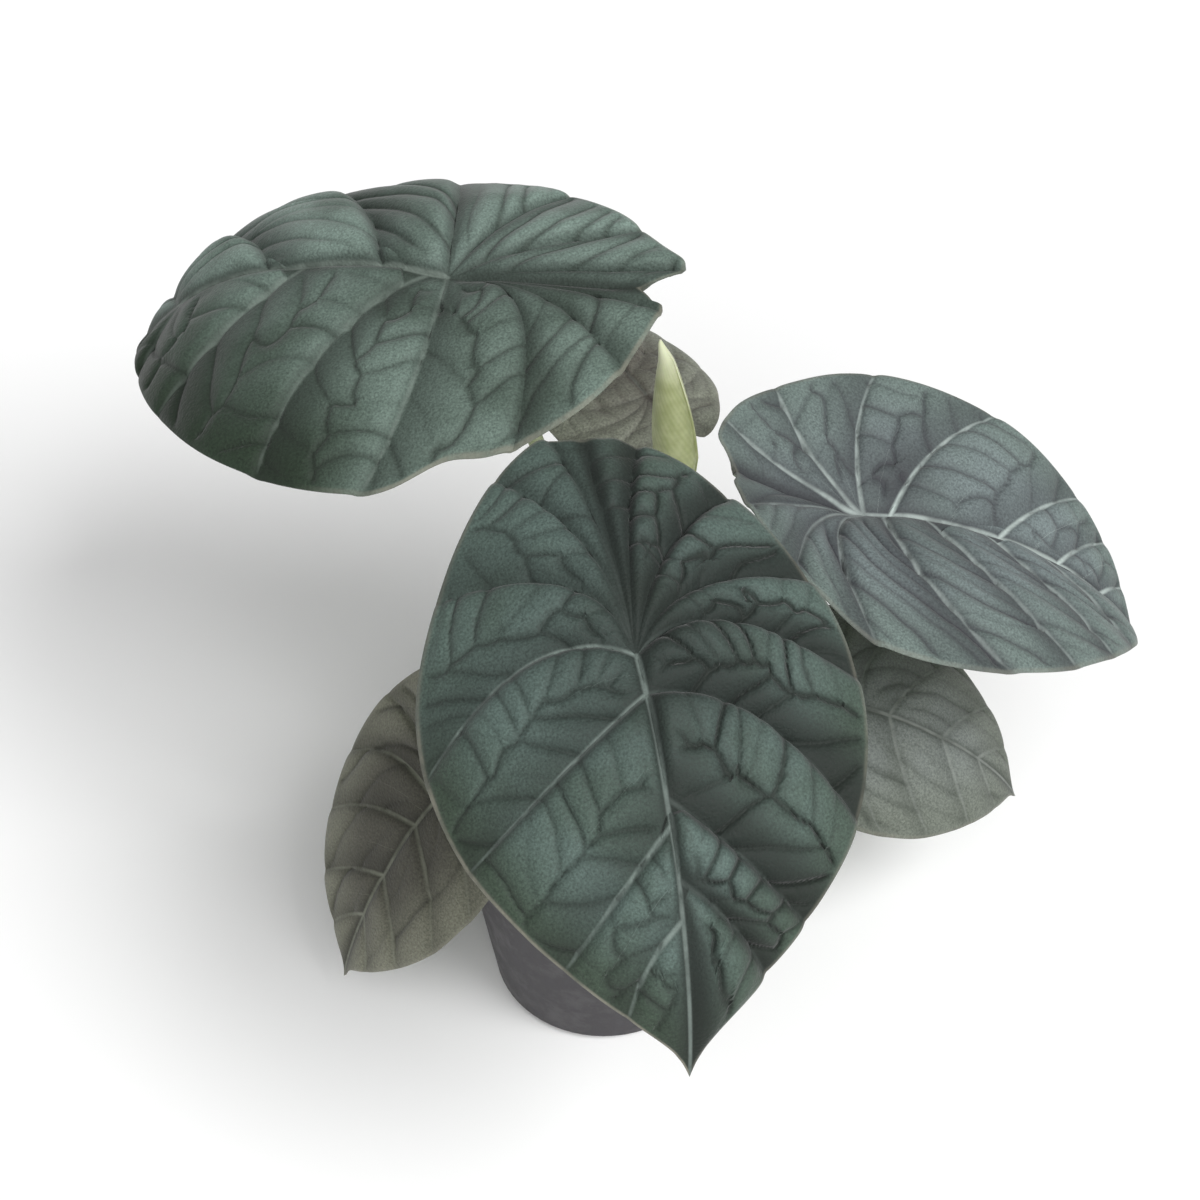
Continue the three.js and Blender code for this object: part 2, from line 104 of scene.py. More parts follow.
# joint is where the stalk meets the blade, turn its heading, pitch and roll. fore, notch and the halves'
# back are lengths from the joint, and droop, lobe_droop and fold are degrees. cell scales the furrows'
# spacing, and the lobes' veins and dusk have shares of their own. grid is the top's grid for each half, and
# stalk the stalk's place on the corm in degrees and the two bends of its curve.
LEAVES = {
    "back_left": dict(
        joint=(-50, 82, 245), turn=(164, 6.5, -8), fore=143, notch=64, droop=62, lobe_droop=-2, fold=0,
        cell=1.3, lobe_pale=0.1, lobe_dusk=0.1, grid=(300, 114), stalk=(130, (-3, 18, 150), (-13, 66, 190)),
        left=half_leaf(
            84, 73, 16, lobe=0.12, dents=[(0.352, 7, 0.045)],
            swell=0.5, contrast=0.5, rim=0, lobe_rim=0.6, bloom=0.66, dusk_reach=60,
            angles=[180, 180, 182, 188, 100, 46, 43, 45, 0],
            starts=[0, 0, 0, 0, 0, 0.04, 0.34, 0.72, 0.985],
            ends=[0, 0.045, 0.13, 0.27, 0.433, 0.562, 0.755, 0.87, 1]),
        right=half_leaf(
            66, 76, 40, lobe=0.17, slim=0.5, rows=1, lean=1.2, pale=0.15, swell=0.8, contrast=0.6, dusk=0,
            angles=[180, 172, 148, 112, 82, 67, 61, 55, 0],
            starts=[0, 0, 0, 0, 0, 0.15, 0.44, 0.75, 0.985],
            ends=[0, 0.055, 0.16, 0.311, 0.478, 0.651, 0.812, 0.91, 1])),
    "front": dict(
        joint=(9.5, -62, 223.5), turn=(-78, 22, -4), fore=128, notch=76, droop=57, lobe_droop=21, fold=15,
        cell=1, lobe_pale=0.1, lobe_dusk=0.25, grid=(300, 114), stalk=(270, (1, -10, 150), (6, -28, 182)),
        left=half_leaf(
            70.5, 76, 15.5, pale=0.2, swell=1.15, dusk=0.75, hollow=0.8,
            angles=[180, 176, 164, 150, 130, 96, 52, 52, 0],
            starts=[0, 0, 0, 0, 0, 0.1, 0.34, 0.52, 0.985],
            ends=[0, 0.07, 0.19, 0.33, 0.465, 0.647, 0.784, 0.858, 1]),
        right=half_leaf(
            71, 81, 42, slim=0.1, pale=1, swell=0.6, contrast=0.45, rim=0.9, lobe_rim=0.4, hollow=0.5,
            angles=[180, 180, 178, 172, 121, 60, 46, 50, 0],
            starts=[0, 0, 0, 0, 0, 0.1, 0.4, 0.61, 0.985],
            ends=[0, 0.04, 0.12, 0.285, 0.511, 0.648, 0.812, 0.9, 1])),
    "right": dict(
        joint=(84.5, 41, 180), turn=(5, 16, 0.5), fore=126, notch=48, droop=51, lobe_droop=-24, fold=-19,
        cell=1.3, lobe_pale=0.8, lobe_dusk=1, grid=(272, 104), stalk=(20, (9, 5, 140), (54, 34, 139)),
        left=half_leaf(
            52, 57, -13, pale=1, swell=0.3, contrast=0.45, stain=(9, 13, 15, 0.55),
            angles=[180, 170, 151, 107, 68, 52, 52, 48, 0],
            starts=[0, 0, 0, 0, 0.068, 0.38, 0.58, 0.76, 0.985],
            ends=[0, 0.09, 0.221, 0.407, 0.595, 0.765, 0.84, 0.91, 1]),
        right=half_leaf(
            69, 53, 13.5, rows=1, lean=1.4, pale=0.6, swell=0.4, contrast=0.6,
            angles=[180, 168, 158, 147, 98, 69, 58, 50, 0],
            starts=[0, 0, 0, 0, 0.05, 0.165, 0.33, 0.52, 0.985],
            ends=[0, 0.09, 0.21, 0.347, 0.54, 0.65, 0.74, 0.82, 1])),
    "back": dict(
        joint=(14, 94, 184), turn=(124, 0, 0), fore=76, notch=22, droop=30, lobe_droop=10, fold=0,
        cell=1, lobe_pale=0.3, lobe_dusk=1, grid=(140, 52), stalk=(75, (2, 12, 140), (13, 66, 145)),
        left=half_leaf(34, 27, 25, pale=0.2, swell=0.4, contrast=0.2),
        right=half_leaf(27, 27, 25, pale=0.2, swell=0.4, contrast=0.2)),
    "low_right": dict(
        joint=(87, 24, 105), turn=(-4, 24, 18), fore=80, notch=38, droop=48, lobe_droop=10, fold=2,
        cell=1.9, lobe_pale=0.6, lobe_dusk=1, grid=(168, 64), stalk=(325, (9, -5, 120), (64, 23, 90)),
        left=half_leaf(43, 44, 24, rows=1, lean=1.2, pale=0.6, swell=0.3, contrast=0.3),
        right=half_leaf(41, 42, 31, rows=1, lean=1.2, pale=0.6, swell=0.3, contrast=0.3)),
    "low_left": dict(
        joint=(-56, -18, 105), turn=(-157, 56, -10), fore=88, notch=46, droop=26, lobe_droop=-8, fold=-3,
        cell=2.6, lobe_pale=0.6, lobe_dusk=1, grid=(168, 64), stalk=(200, (-9, -4, 118), (-36, -11, 96)),
        left=half_leaf(37, 54, 21, rows=1, lean=1.2, pale=0.6, swell=0.35, contrast=0.3),
        right=half_leaf(45, 52, 13, rows=1, lean=1.4, pale=0.8, swell=0.4, contrast=0.45)),
}

# The corm, and how a stalk stands in it
FOOT_RING = 9.2
CORM_TOP = 85
FOOT_DEPTH = 10
FOOT_RADIUS = 3.9
RIBS = 11

# The pot's inside, the potting mix in it and the pit in that for the corm
POT_BASE, POT_RIM, POT_HIGH, POT_WALL = 38, 51.2, 92, 1.9
SOIL_FLOOR, SOIL_TOP, PIT_RADIUS, PIT_FLOOR = 2.3, 80, 12, 60
# The radius at which a turned shape closes on its axis
AXIS = 0.01


# Curves and small formulas


def mix(a, b, share):
    """The value a share of the way from a to b."""
    return a + (b - a) * share


def ease(low, high, at):
    """0 below low, 1 above high and a smooth 3t^2 - 2t^3 between them."""
    t = np.clip((at - low) / (high - low), 0, 1)
    return t * t * (3 - 2 * t)


def fade(distance, reach):
    """1 at no distance, falling as exp(-distance / reach)."""
    return np.exp(-distance / reach)


def hump(distance, reach):
    """1 at no distance, falling as exp(-(distance / reach)^2)."""
    return np.exp(-(distance / reach) ** 2)


def between(values, at):
    """A smooth value between listed ones: a cubic Hermite curve whose slopes are harmonic means."""
    v = np.asarray(values, float)
    step = np.diff(v)
    slope = np.empty(len(v))
    slope[0], slope[-1] = step[0], step[-1]
    before, after = step[:-1], step[1:]
    rising = before * after > 0
    slope[1:-1] = np.where(rising, 2 * before * after / np.where(rising, before + after, 1), 0)
    i = np.clip(np.floor(at).astype(int), 0, len(v) - 2)
    f = at - i
    return ((1 + 2 * f) * (1 - f) ** 2 * v[i] + f * (1 - f) ** 2 * slope[i]
            + f * f * (3 - 2 * f) * v[i + 1] + f * f * (f - 1) * slope[i + 1])


def ripple(x, y, size, seed):
    """A smooth wander between about -1 and 1: three crossed sine waves of a size in mm, phased by a seed."""
    a, b, c, d = np.modf(np.sin(seed * np.array([12.9, 39.3, 73.2, 27.7])) * 43.7)[0] * 6.3
    u, v = x / size * 2.2, y / size * 2.2
    return (np.sin(u + 1.3 * np.sin(v * 0.7 + a) + b) * np.cos(v + 0.9 * np.sin(u * 0.8 + c))
            + 0.6 * np.sin(0.8 * u - 1.1 * v + d)) / 1.4


def margin_curve(leaf, half):
    """Half a leaf's margin from the notch to the tip: a Catmull-Rom curve through the outline's
    points, as shares of its length and flat x, y in mm."""
    narrowed = [(x, y * (1 - half["slim"] * x * x)) for x, y in LOBE_OUTLINE]
    wide = half["wide"]
    points = [(-leaf["notch"], 0),
              (-mix(half["back"], leaf["notch"], LOBE_BEND), half["lobe"] * LOBE_BEND * wide),
              (-half["back"], half["lobe"] * wide)]
    points += [(x * half["back"], y * wide) for x, y in narrowed]
    points += [(x * leaf["fore"], y * wide) for x, y in FORE_OUTLINE]
    p = np.array(points, float)
    n = len(p) - 1
    u = np.linspace(0, n, 40 * n + 1)
    i = np.minimum(u.astype(int), n - 1)
    f = (u - i)[:, None]
    p0, p1, p2, p3 = p[np.maximum(i - 1, 0)], p[i], p[i + 1], p[np.minimum(i + 2, n)]
    q = p1 + 0.5 * f * (p2 - p0 + f * (2 * p0 - 5 * p1 + 4 * p2 - p3 + f * (3 * (p1 - p2) + p3 - p0)))
    share = np.r_[0, np.cumsum(np.hypot(*np.diff(q, axis=0).T))]
    return share / share[-1], q


def fan(leaf, half, vein, out, own_start=False):
    """Flat x, y of half a leaf: vein counts the primary veins from the notch to the tip, and out is
    the share of the way from the midrib to the margin, along a bow (a quadratic Bezier curve).
    Both halves share their rows' starts on the midrib, unless own_start asks for the vein's own."""
    share, margin = margin_curve(leaf, half)
    at = between(half["ends"], vein)
    drawn_in = sum((deep * hump(at - place, spread) for place, deep, spread in half["dents"]), 0 * at)
    end_x = np.interp(at, share, margin[:, 0])
    end_y = np.maximum(np.maximum(np.interp(at, share, margin[:, 1]), 0) - drawn_in, 0)
    own = between(half["starts"], vein)
    shared = (between(leaf["left"]["starts"], vein) + between(leaf["right"]["starts"], vein)) / 2
    start = (own if own_start else mix(shared, own, ease(0, VEIN_MERGE, out))) * leaf["fore"]
    angle = np.radians(between(half["angles"], vein))
    reach = np.hypot(end_x - start, end_y) / 2
    a, b, c = (1 - out) ** 2, 2 * out * (1 - out), out * out
    return (a + b) * start + b * reach * np.cos(angle) + c * end_x, b * reach * np.sin(angle) + c * end_y


def walk(slope_at, length):
    """How far a surface gets ahead and how far it falls along a length where its slope changes: the
    mean cosine and sine of the slope at 24 places."""
    share = (np.arange(24) + 0.5) / 24
    slope = slope_at(length[..., None] * share)
    return np.cos(slope).mean(-1) * length, np.sin(slope).mean(-1) * length


def bent(leaf, half, side, x, y, lift):
    """The flat x, y bent into the leaf's droop and fold and raised by lift, and the way up there."""
    back = max(leaf["left"]["back"], leaf["right"]["back"])

    def spine(d):
        ahead = np.radians(leaf["droop"]) * (np.maximum(d, 0) / leaf["fore"]) ** DROOP_SHAPE
        return np.where(d > 0, ahead, np.radians(leaf["lobe_droop"]) * d / back)

    def flank(d):
        return np.radians(mix(leaf["fold"], half["fall"], d / half["wide"]))

    ahead, drop = walk(spine, x)
    across, sag = walk(flank, y)
    slope = spine(x)
    up = np.stack([np.sin(slope), 0 * slope, np.cos(slope)], -1)
    return np.stack([ahead, side * across, -drop], -1) + up * (lift - sag)[..., None], up


def placed(leaf, points):
    """Points of a leaf turned by its heading, pitch and roll and moved to its joint."""
    heading, pitch, roll = np.radians(leaf["turn"])
    ch, sh, cp, sp, cr, sr = (f(a) for a in (heading, pitch, roll) for f in (np.cos, np.sin))
    headed = np.array([[ch, -sh, 0], [sh, ch, 0], [0, 0, 1]])
    pitched = np.array([[cp, 0, sp], [0, 1, 0], [-sp, 0, cp]])
    rolled = np.array([[1, 0, 0], [0, cr, -sr], [0, sr, cr]])
    return np.array(leaf["joint"]) + points @ (headed @ pitched @ rolled).T


def signed_gap(points, line):
    """Each point's distance from a line of straight pieces, positive on its left, how far along the
    line its nearest place is as a share, and the same in mm, counted on past the line's ends."""
    step = np.diff(line, axis=0)
    away = points[:, None] - line[:-1]
    share = np.clip((away * step).sum(-1) / (step ** 2).sum(-1), 0, 1)
    gap = away - share[..., None] * step
    far = (gap ** 2).sum(-1)
    best = np.argmin(far, 1)
    rows = np.arange(len(points))
    near, way = gap[rows, best], step[best]
    left = np.where(way[:, 0] * near[:, 1] - way[:, 1] * near[:, 0] >= 0, 1, -1)
    length = np.hypot(*step.T)
    before = np.r_[0, np.cumsum(length)[:-1]][best]
    along = before + share[rows, best] * length[best] + (near * way).sum(-1) / length[best]
    return left * np.sqrt(far[rows, best]), (best + share[rows, best]) / len(step), along


def scatter(*keys):
    """A fixed scatter between -1 and 1 for whole numbers: the fraction of a large sine."""
    mixed_keys = sum(k * w for k, w in zip(keys, (12.9898, 78.233, 37.719, 11.131)))
    return 2 * np.modf(np.abs(np.sin(mixed_keys) * 43758.5453))[0] - 1


# The cells between furrows: distances across a swell count less, which draws the cells out that way, and
# each cell's seed strays by these shares of its square. A second row leans from the other vein
CELL_STRETCH = 0.8
SEEDS_STRAY = (0.2, 0.26)
SECOND_ROW_LEAN = 0.73
SECOND_ROW_LONGER = 1.3
FAR_AWAY = 1e6


def cell_edges(q, rows_r, size_q, sizes_r, lean, rows, seed):
    """Distance in mm to the nearest edge between the cells round scattered seeds, one seed in each
    square of q and r, and that edge's strength from 0 to 1. q counts rows of cells, and the first and
    second row each have an r, a cell length and a lean of their own, in mm outwards for each mm from
    their vein. An edge is half way between two seeds, and there are no seeds past the rows."""
    seeds = []
    for i in range(-1, 2):
        row = np.floor(q) + i
        first = row % 2 == 0
        r, size_r, leant = (np.where(first, *pair) for pair in (rows_r, sizes_r, (-lean, SECOND_ROW_LEAN)))
        for j in range(-2, 3):
            cell = np.floor(r) + j
            to_q = (row + 0.5 + SEEDS_STRAY[0] * scatter(row, cell, seed) - q) * size_q * CELL_STRETCH
            to_r = (cell + 0.5 + SEEDS_STRAY[1] * scatter(row, cell, seed + 5.3) - r) * size_r
            away = np.where((row < 0) | (row >= rows), FAR_AWAY, to_q ** 2 + to_r ** 2)
            seeds.append((to_q, to_r, away, row, cell, leant * to_r))
    seeds = np.array(seeds)
    best = seeds[:, 2].argmin(0)
    own_q, own_r, _, own_row, own_cell, own_lean = np.take_along_axis(seeds, best[None, None], 0)[0]
    nearest, strength = np.full(q.shape, 99.0), np.zeros(q.shape)
    for n, (to_q, to_r, away, row, cell, leant) in enumerate(seeds):
        gap_q, gap_r = to_q - own_q, to_r - own_r
        slope = np.hypot(gap_q * CELL_STRETCH + leant - own_lean, gap_r) + 1e-9
        gap = ((to_q + own_q) * gap_q + (to_r + own_r) * gap_r) / 2 / slope
        closer = (n != best) & (away < FAR_AWAY) & (gap < nearest)
        nearest = np.where(closer, gap, nearest)
        own = np.where(row == own_row, 0.7 + 0.5 * scatter(row, cell + own_cell, seed + 9.1), 1)
        strength = np.where(closer, own, strength)
    return nearest, np.clip(strength, 0, 1)


# Meshes


def grid_triangles(rows, columns, flip):
    """Two triangles for each cell of a grid of corners numbered row by row."""
    a = (np.arange(rows)[:, None] * (columns + 1) + np.arange(columns)).ravel()
    b, d, e = a + 1, a + columns + 1, a + columns + 2
    first, second = np.stack([a, b, d], -1), np.stack([b, e, d], -1)
    both = np.concatenate([first, second])
    return both[:, ::-1] if flip else both


def new_piece(name, points, triangles, materials, attributes=None, kinds=None, sharp=50):
    """A mesh object in metres from points in mm: doubles merged, slivers dropped, smooth but for edges
    sharper than an angle, with float attributes on its corners and a material index for each triangle."""
    keys, first, back = np.unique(np.round(points, 5) + 0.0, axis=0, return_index=True, return_inverse=True)
    corners = back.reshape(-1)[triangles]
    a, b, c = corners.T
    kept = (a != b) & (b != c) & (c != a)
    corners = corners[kept]
    mesh = bpy.data.meshes.new(name)
    mesh.vertices.add(len(keys))
    mesh.vertices.foreach_set("co", (keys * MM).ravel())
    mesh.loops.add(3 * len(corners))
    mesh.loops.foreach_set("vertex_index", corners.ravel())
    mesh.polygons.add(len(corners))
    mesh.polygons.foreach_set("loop_start", np.arange(0, 3 * len(corners), 3))
    if kinds is not None:
        mesh.polygons.foreach_set("material_index", kinds[kept])
    for key, values in (attributes or {}).items():
        mesh.attributes.new(key, "FLOAT", "POINT").data.foreach_set("value", values[first].astype(np.float32))
    mesh.update(calc_edges=True)
    mesh.validate()
    mesh.shade_smooth()
    mesh.set_sharp_from_angle(angle=np.radians(sharp))
    for material in materials:
        mesh.materials.append(material)
    piece = bpy.data.objects.new(name, mesh)
    bpy.context.scene.collection.objects.link(piece)
    return piece


def tube(rings):
    """Triangles round and along rings of corners (rings, sides), with a middle point for each flat end.
    Returns the points and the triangles."""
    count, sides = rings.shape[:2]
    wrapped = np.concatenate([rings, rings[:, :1]], 1).reshape(-1, 3)
    triangles = grid_triangles(count - 1, sides, False)
    start, end = len(wrapped), len(wrapped) + 1
    around = np.arange(sides)
    last = (count - 1) * (sides + 1)
    caps = [np.stack([0 * around + start, around + 1, around], -1),
            np.stack([0 * around + end, last + around, last + around + 1], -1)]
    points = np.vstack([wrapped, rings[0].mean(0), rings[-1].mean(0)])
    return points, np.vstack([triangles, *caps])


def revolved(profile, sides, wobble=None):
    """A profile of radius and height turned round Z; wobble changes radius and height at an angle."""
    angle = np.linspace(0, 2 * np.pi, sides, endpoint=False)
    r, z = (np.repeat(np.array(profile, float)[:, i:i + 1], sides, 1) for i in (0, 1))
    a = np.repeat(angle[None], len(profile), 0)
    if wobble:
        r, z = wobble(r, z, a)
    return np.stack([r * np.cos(a), r * np.sin(a), z], -1)


# Materials

# The nodes that the materials use: the end of each one's type, the inputs that its values fill in order,
# its output and its usual settings
NODES = {
    "coordinates": ("TexCoord", (), "Object", {}),
    "attribute": ("Attribute", (), "Fac", {}),
    "mapping": ("Mapping", ("Vector", "Scale"), "Vector", {}),
    "noise": ("TexNoise", ("Vector", "Scale", "Detail", "Roughness"), "Fac", {}),
    "cells": ("TexVoronoi", ("Vector", "Scale", "Smoothness"), "Distance", {}),
    "math": ("Math", (0, 1), "Value", {"operation": "MULTIPLY"}),
    "range": ("MapRange", ("Value", "From Min", "From Max", "To Min", "To Max"), "Result",
              {"interpolation_type": "SMOOTHSTEP"}),
    "mix": ("Mix", (0, 6, 7), 2, {"data_type": "RGBA"}),
    "bump": ("Bump", ("Height", "Strength", "Distance", "Normal"), "Normal", {}),
    "surface": ("BsdfPrincipled", ("Base Color", "Roughness", "Normal"), "BSDF", {}),
    "output": ("OutputMaterial", ("Surface",), None, {}),
}


def add_node(tree, kind, *values, named=(), **settings):
    """Adds a listed node with its settings and links, and gives its output. Values fill its inputs in
    their order or by name, and one that is another node's output is linked."""
    name, inputs, output, usual = NODES[kind]
    node = tree.nodes.new("ShaderNode" + name)
    for key, value in {**usual, **settings}.items():
        setattr(node, key, value)
    for key, value in [*zip(inputs, values), *dict(named).items()]:
        if isinstance(value, bpy.types.NodeSocket):
            tree.links.new(value, node.inputs[key])
        else:
            node.inputs[key].default_value = value
    return None if output is None else node.outputs[output]


def new_material(name):
    """A material with an empty node tree, and the function that adds a node to it."""
    material = bpy.data.materials.new(name)
    material.use_nodes = True
    material.node_tree.nodes.clear()
    return material, partial(add_node, material.node_tree)


def rgba(colour):
    """A linear colour, or an sRGB hex colour, with full alpha."""
    return (*(linear(colour) if isinstance(colour, str) else colour), 1)


def per_metre(size):
    """How many times a pattern of a size in mm fits into a metre."""
    return 1 / MM / size


def velvet_blade(name, base, cool, vein, furrow, rim, vein_show):
    """Living aroid leaf blade: thick, matt and finely pebbled, with a bloom on it. The eye gets a soft
    grey-green that breaks into tiny grains, pale veins in the valleys and dark furrows between swells.
    The furrows and the valleys beside the veins are darkened with painted shade, and the swells' tops
    lightened with a painted highlight. Its cloudy bloom is 38 mm wide, its patches 7 mm, its pebbles
    1.15 mm and its grain 0.75 mm, which is coarser than the real hairs so that it shows."""
    material, add = new_material(name)
    place = add("coordinates")
    painted_shade_and_highlight, furrows, inner, stain, worn, across, shown, midrib = (
        add("attribute", attribute_name=key)
        for key in ("painted_shade_and_highlight", "furrow", "inner", "stain", "rim", "vein_across", "vein_show", "midrib_across"))
    cloud = add("noise", place, per_metre(38), 3)
    patches = add("noise", place, per_metre(7), 3)
    pebble = add("cells", place, per_metre(1.15), 0.4, feature="SMOOTH_F1")
    grain = add("noise", place, per_metre(0.75), 2, 0.65)

    bloom = add("math", inner, add("range", cloud, 0.34, 0.56, 0.5, 1))
    colour = add("mix", bloom, rgba(base), rgba(cool))
    grainy = add("range", grain, 0.3, 0.7, 0.66, 1.34, interpolation_type="LINEAR")
    colour = add("mix", 1, colour, grainy, blend_type="MULTIPLY")
    # Painted shade and highlight: towards the valleys the colour turns to the dark furrow colour and is
    # darkened, and on the swells' tops it is lightened.
    colour = add("mix", add("range", painted_shade_and_highlight, 0, 1, 0.8, 0), colour, rgba(furrow))
    shade = add("range", painted_shade_and_highlight, 0, 1, 0.7, 1.25, interpolation_type="LINEAR")
    colour = add("mix", 1, colour, shade, blend_type="MULTIPLY")
    # Painted shade: thin dark lines along the furrows.
    colour = add("mix", add("math", furrows, 0.75), colour, rgba(furrow))
    colour = add("mix", stain, colour, rgba(furrow))

    patchy = add("range", patches, 0.3, 0.62, 0.5, 1)
    beside = add("range", add("math", across, operation="ABSOLUTE"), 0.15, 1.5, 1, 0)
    middle = add("range", midrib, 0.3, 1.3, 0.75, 0)
    pale = add("math", add("math", beside, shown), middle, operation="MAXIMUM")
    pale = add("math", add("math", pale, patchy), vein_show)
    colour = add("mix", pale, colour, rgba(vein))
    colour = add("mix", add("math", worn, patchy), colour, rgba(rim))

    height = add("math", add("math", pebble, -0.7), grain, operation="ADD")
    fine = add("bump", height, 0.4, 0.5 * MM)
    bump = add("bump", add("math", furrows, -1), 0.8, 0.6 * MM, fine)
    rough = add("range", grain, 0.3, 0.7, 0.6, 0.76, interpolation_type="LINEAR")
    add("output", add("surface", colour, rough, bump, named={
        "Specular IOR Level": 0.25, "Sheen Weight": 0.12, "Sheen Roughness": 0.45}))
    return material


def stalk_skin(name, colour, bloom):
    """Fleshy leaf stalk: smooth, ribbed along its length, with a thin waxy bloom. The eye gets a pale
    green rod with faint streaks, 1.6 mm apart and drawn out lengthways, and a soft highlight."""
    material, add = new_material(name)
    place = add("coordinates")
    streak = add("noise", add("mapping", place, (1, 1, 0.08)), per_metre(1.6), 3)
    cloud = add("noise", place, per_metre(14), 3)
    tint = add("mix", add("range", cloud, 0.35, 0.65), rgba(colour), rgba(bloom))
    tint = add("mix", add("range", streak, 0.45, 0.75, 0, 0.35), tint, rgba([c * 0.6 for c in colour]))
    bump = add("bump", streak, 0.3, 0.3 * MM)
    add("output", add("surface", tint, 0.48, bump, named={"Specular IOR Level": 0.4}))
    return material


def rolled_blade(name, colour, green, shade, tip):
    """Unopened leaf: soft, thin-skinned and pale, with slanting veins. The eye gets a creamy green
    spindle, greener and darker towards its foot, that pales at its tip, with a painted highlight along
    the upper half of its lapped edge. The veins are a sine of the way round and up."""
    material, add = new_material(name)
    wrap, rise = (add("attribute", attribute_name=key) for key in ("wrap", "rise"))
    cloud = add("noise", add("coordinates"), per_metre(6), 3)
    slant = add("math", add("math", wrap, 46), add("math", rise, 30), operation="ADD")
    lines = add("math", add("math", add("math", slant, 3), operation="SINE"), 0.5)
    veined = add("math", cloud, add("math", lines, 0.08), operation="ADD")
    tint = add("mix", add("range", veined, 0.3, 0.7), rgba(colour), rgba(green))
    tint = add("mix", add("range", rise, 0, 0.3, 0.75, 0), tint, rgba(shade))
    tint = add("mix", add("range", rise, 0.72, 1, 0, 0.9), tint, rgba(tip))
    # Painted highlight: a pale line along the upper half of the lapped edge.
    lip = add("math", add("range", wrap, 0, 0.035, 0.8, 0), add("range", rise, 0.5, 0.7))
    tint = add("mix", lip, tint, rgba(tip))
    add("output", add("surface", tint, 0.5, add("bump", lines, 0.12, 0.3 * MM), named={
        "Subsurface Weight": 0.15, "Subsurface Radius": (0.6, 0.9, 0.3), "Subsurface Scale": 2 * MM,
        "Specular IOR Level": 0.4}))
    return material


def moulded_plastic(name, colour, scuff, pit):
    """Injection-moulded polypropylene: thin, slightly waxy, with a fine mould grain. The eye gets a
    dark grey wall with a broad soft sheen, pale dusty scuffs and small dark pits 3.6 mm apart."""
    material, add = new_material(name)
    place = add("coordinates")
    grain = add("noise", place, per_metre(0.9), 2)
    dust = add("noise", place, per_metre(11), 6, 0.7)
    flecks = add("range", add("cells", place, per_metre(3.6)), 0.1, 0.2, 0.9, 0)
    tint = add("mix", add("range", dust, 0.5, 0.75, 0, 0.55), rgba(colour), rgba(scuff))
    tint = add("mix", add("math", flecks, add("range", dust, 0.35, 0.5)), tint, rgba(pit))
    add("output", add("surface", tint, add("range", dust, 0.3, 0.7, 0.4, 0.62),
                      add("bump", grain, 0.22, 0.3 * MM), named={"IOR": 1.49}))
    return material


def crumbly(name, dark, light, size, depth):
    """Loose fibrous matter, such as potting mix or a corm's skin: rough, broken and matt. The eye gets
    brown crumbs of a size in mm, with pale fibres and deep pores between them."""
    material, add = new_material(name)
    crumbs = add("noise", add("coordinates"), per_metre(size), 8, 0.75)
    tint = add("mix", add("range", crumbs, 0.35, 0.72), rgba(dark), rgba(light))
    add("output", add("surface", tint, 0.93, add("bump", crumbs, 0.9, depth * MM),
                      named={"Specular IOR Level": 0.2}))
    return material


# Leaves

# The relief's own lengths in mm, for a full-size leaf where they are scaled. HIGH is how far a feature rises
# or sinks, REACH how far from its middle it fades, WANDER the size of its waves, and SPAN where it starts and
# where it is whole
HIGH = {"shoulder": 0.5, "vein": 0.3, "midrib": 0.3, "wave": 1.3, "margin": 0.7, "sinus": 1.5,
        "midrib rib": 1.6, "vein rib": 0.7}
REACH = {"furrow": 1.8, "furrow line": 0.6, "brow": 1.5, "shoulder": 1.2, "margin": 1.2, "sinus": 2.4,
         "painted_seam_shade": 7, "navel": 11, "hollow": 38, "midline": 2, "wave": 9, "midrib rib": 1.6, "vein rib": 1.1,
         "thin edge": 3}
WANDER = {"swell": 21, "spacing": 34, "row": 19, "bend": 23, "kink": 9, "wave": 48}
SPAN = {"room": (5, 10), "row": (3.5, 6.5), "from midrib": (3, 11), "from margin": (0.3, 4), "behind": (0, 8),
        "sinus end": (0, 12), "vein end": (0.2, 2.5), "rim": (0.5, 1.5), "fore": (-10, 30)}
TWO_ROWS_WIDTH = 13
FURROW_ROUND = 0.35
QUILT_STEEPNESS = 0.31


def vein_gaps(leaf, half, x, y):
    """The signed distances from flat places to every vein, the shares of the way along it, and the same
    in mm: each an array with a row for each vein, the last for the midrib."""
    flat = np.stack([x.ravel(), y.ravel()], -1)
    t = np.linspace(0, 1, 33)
    found = []
    for vein in range(TIP_VEIN + 1):
        line = fan(leaf, half, np.full(len(t), float(vein)), t, own_start=True)
        if vein == TIP_VEIN:
            line = t * leaf["fore"], 0 * t
        found.append([part.reshape(x.shape) for part in signed_gap(flat, np.stack(line, -1))])
    return np.array(found).swapaxes(0, 1)


def of_vein(values, vein):
    """From an array with a row for each vein, the values of the vein that each place names."""
    return np.take_along_axis(values, vein[None], 0)[0]


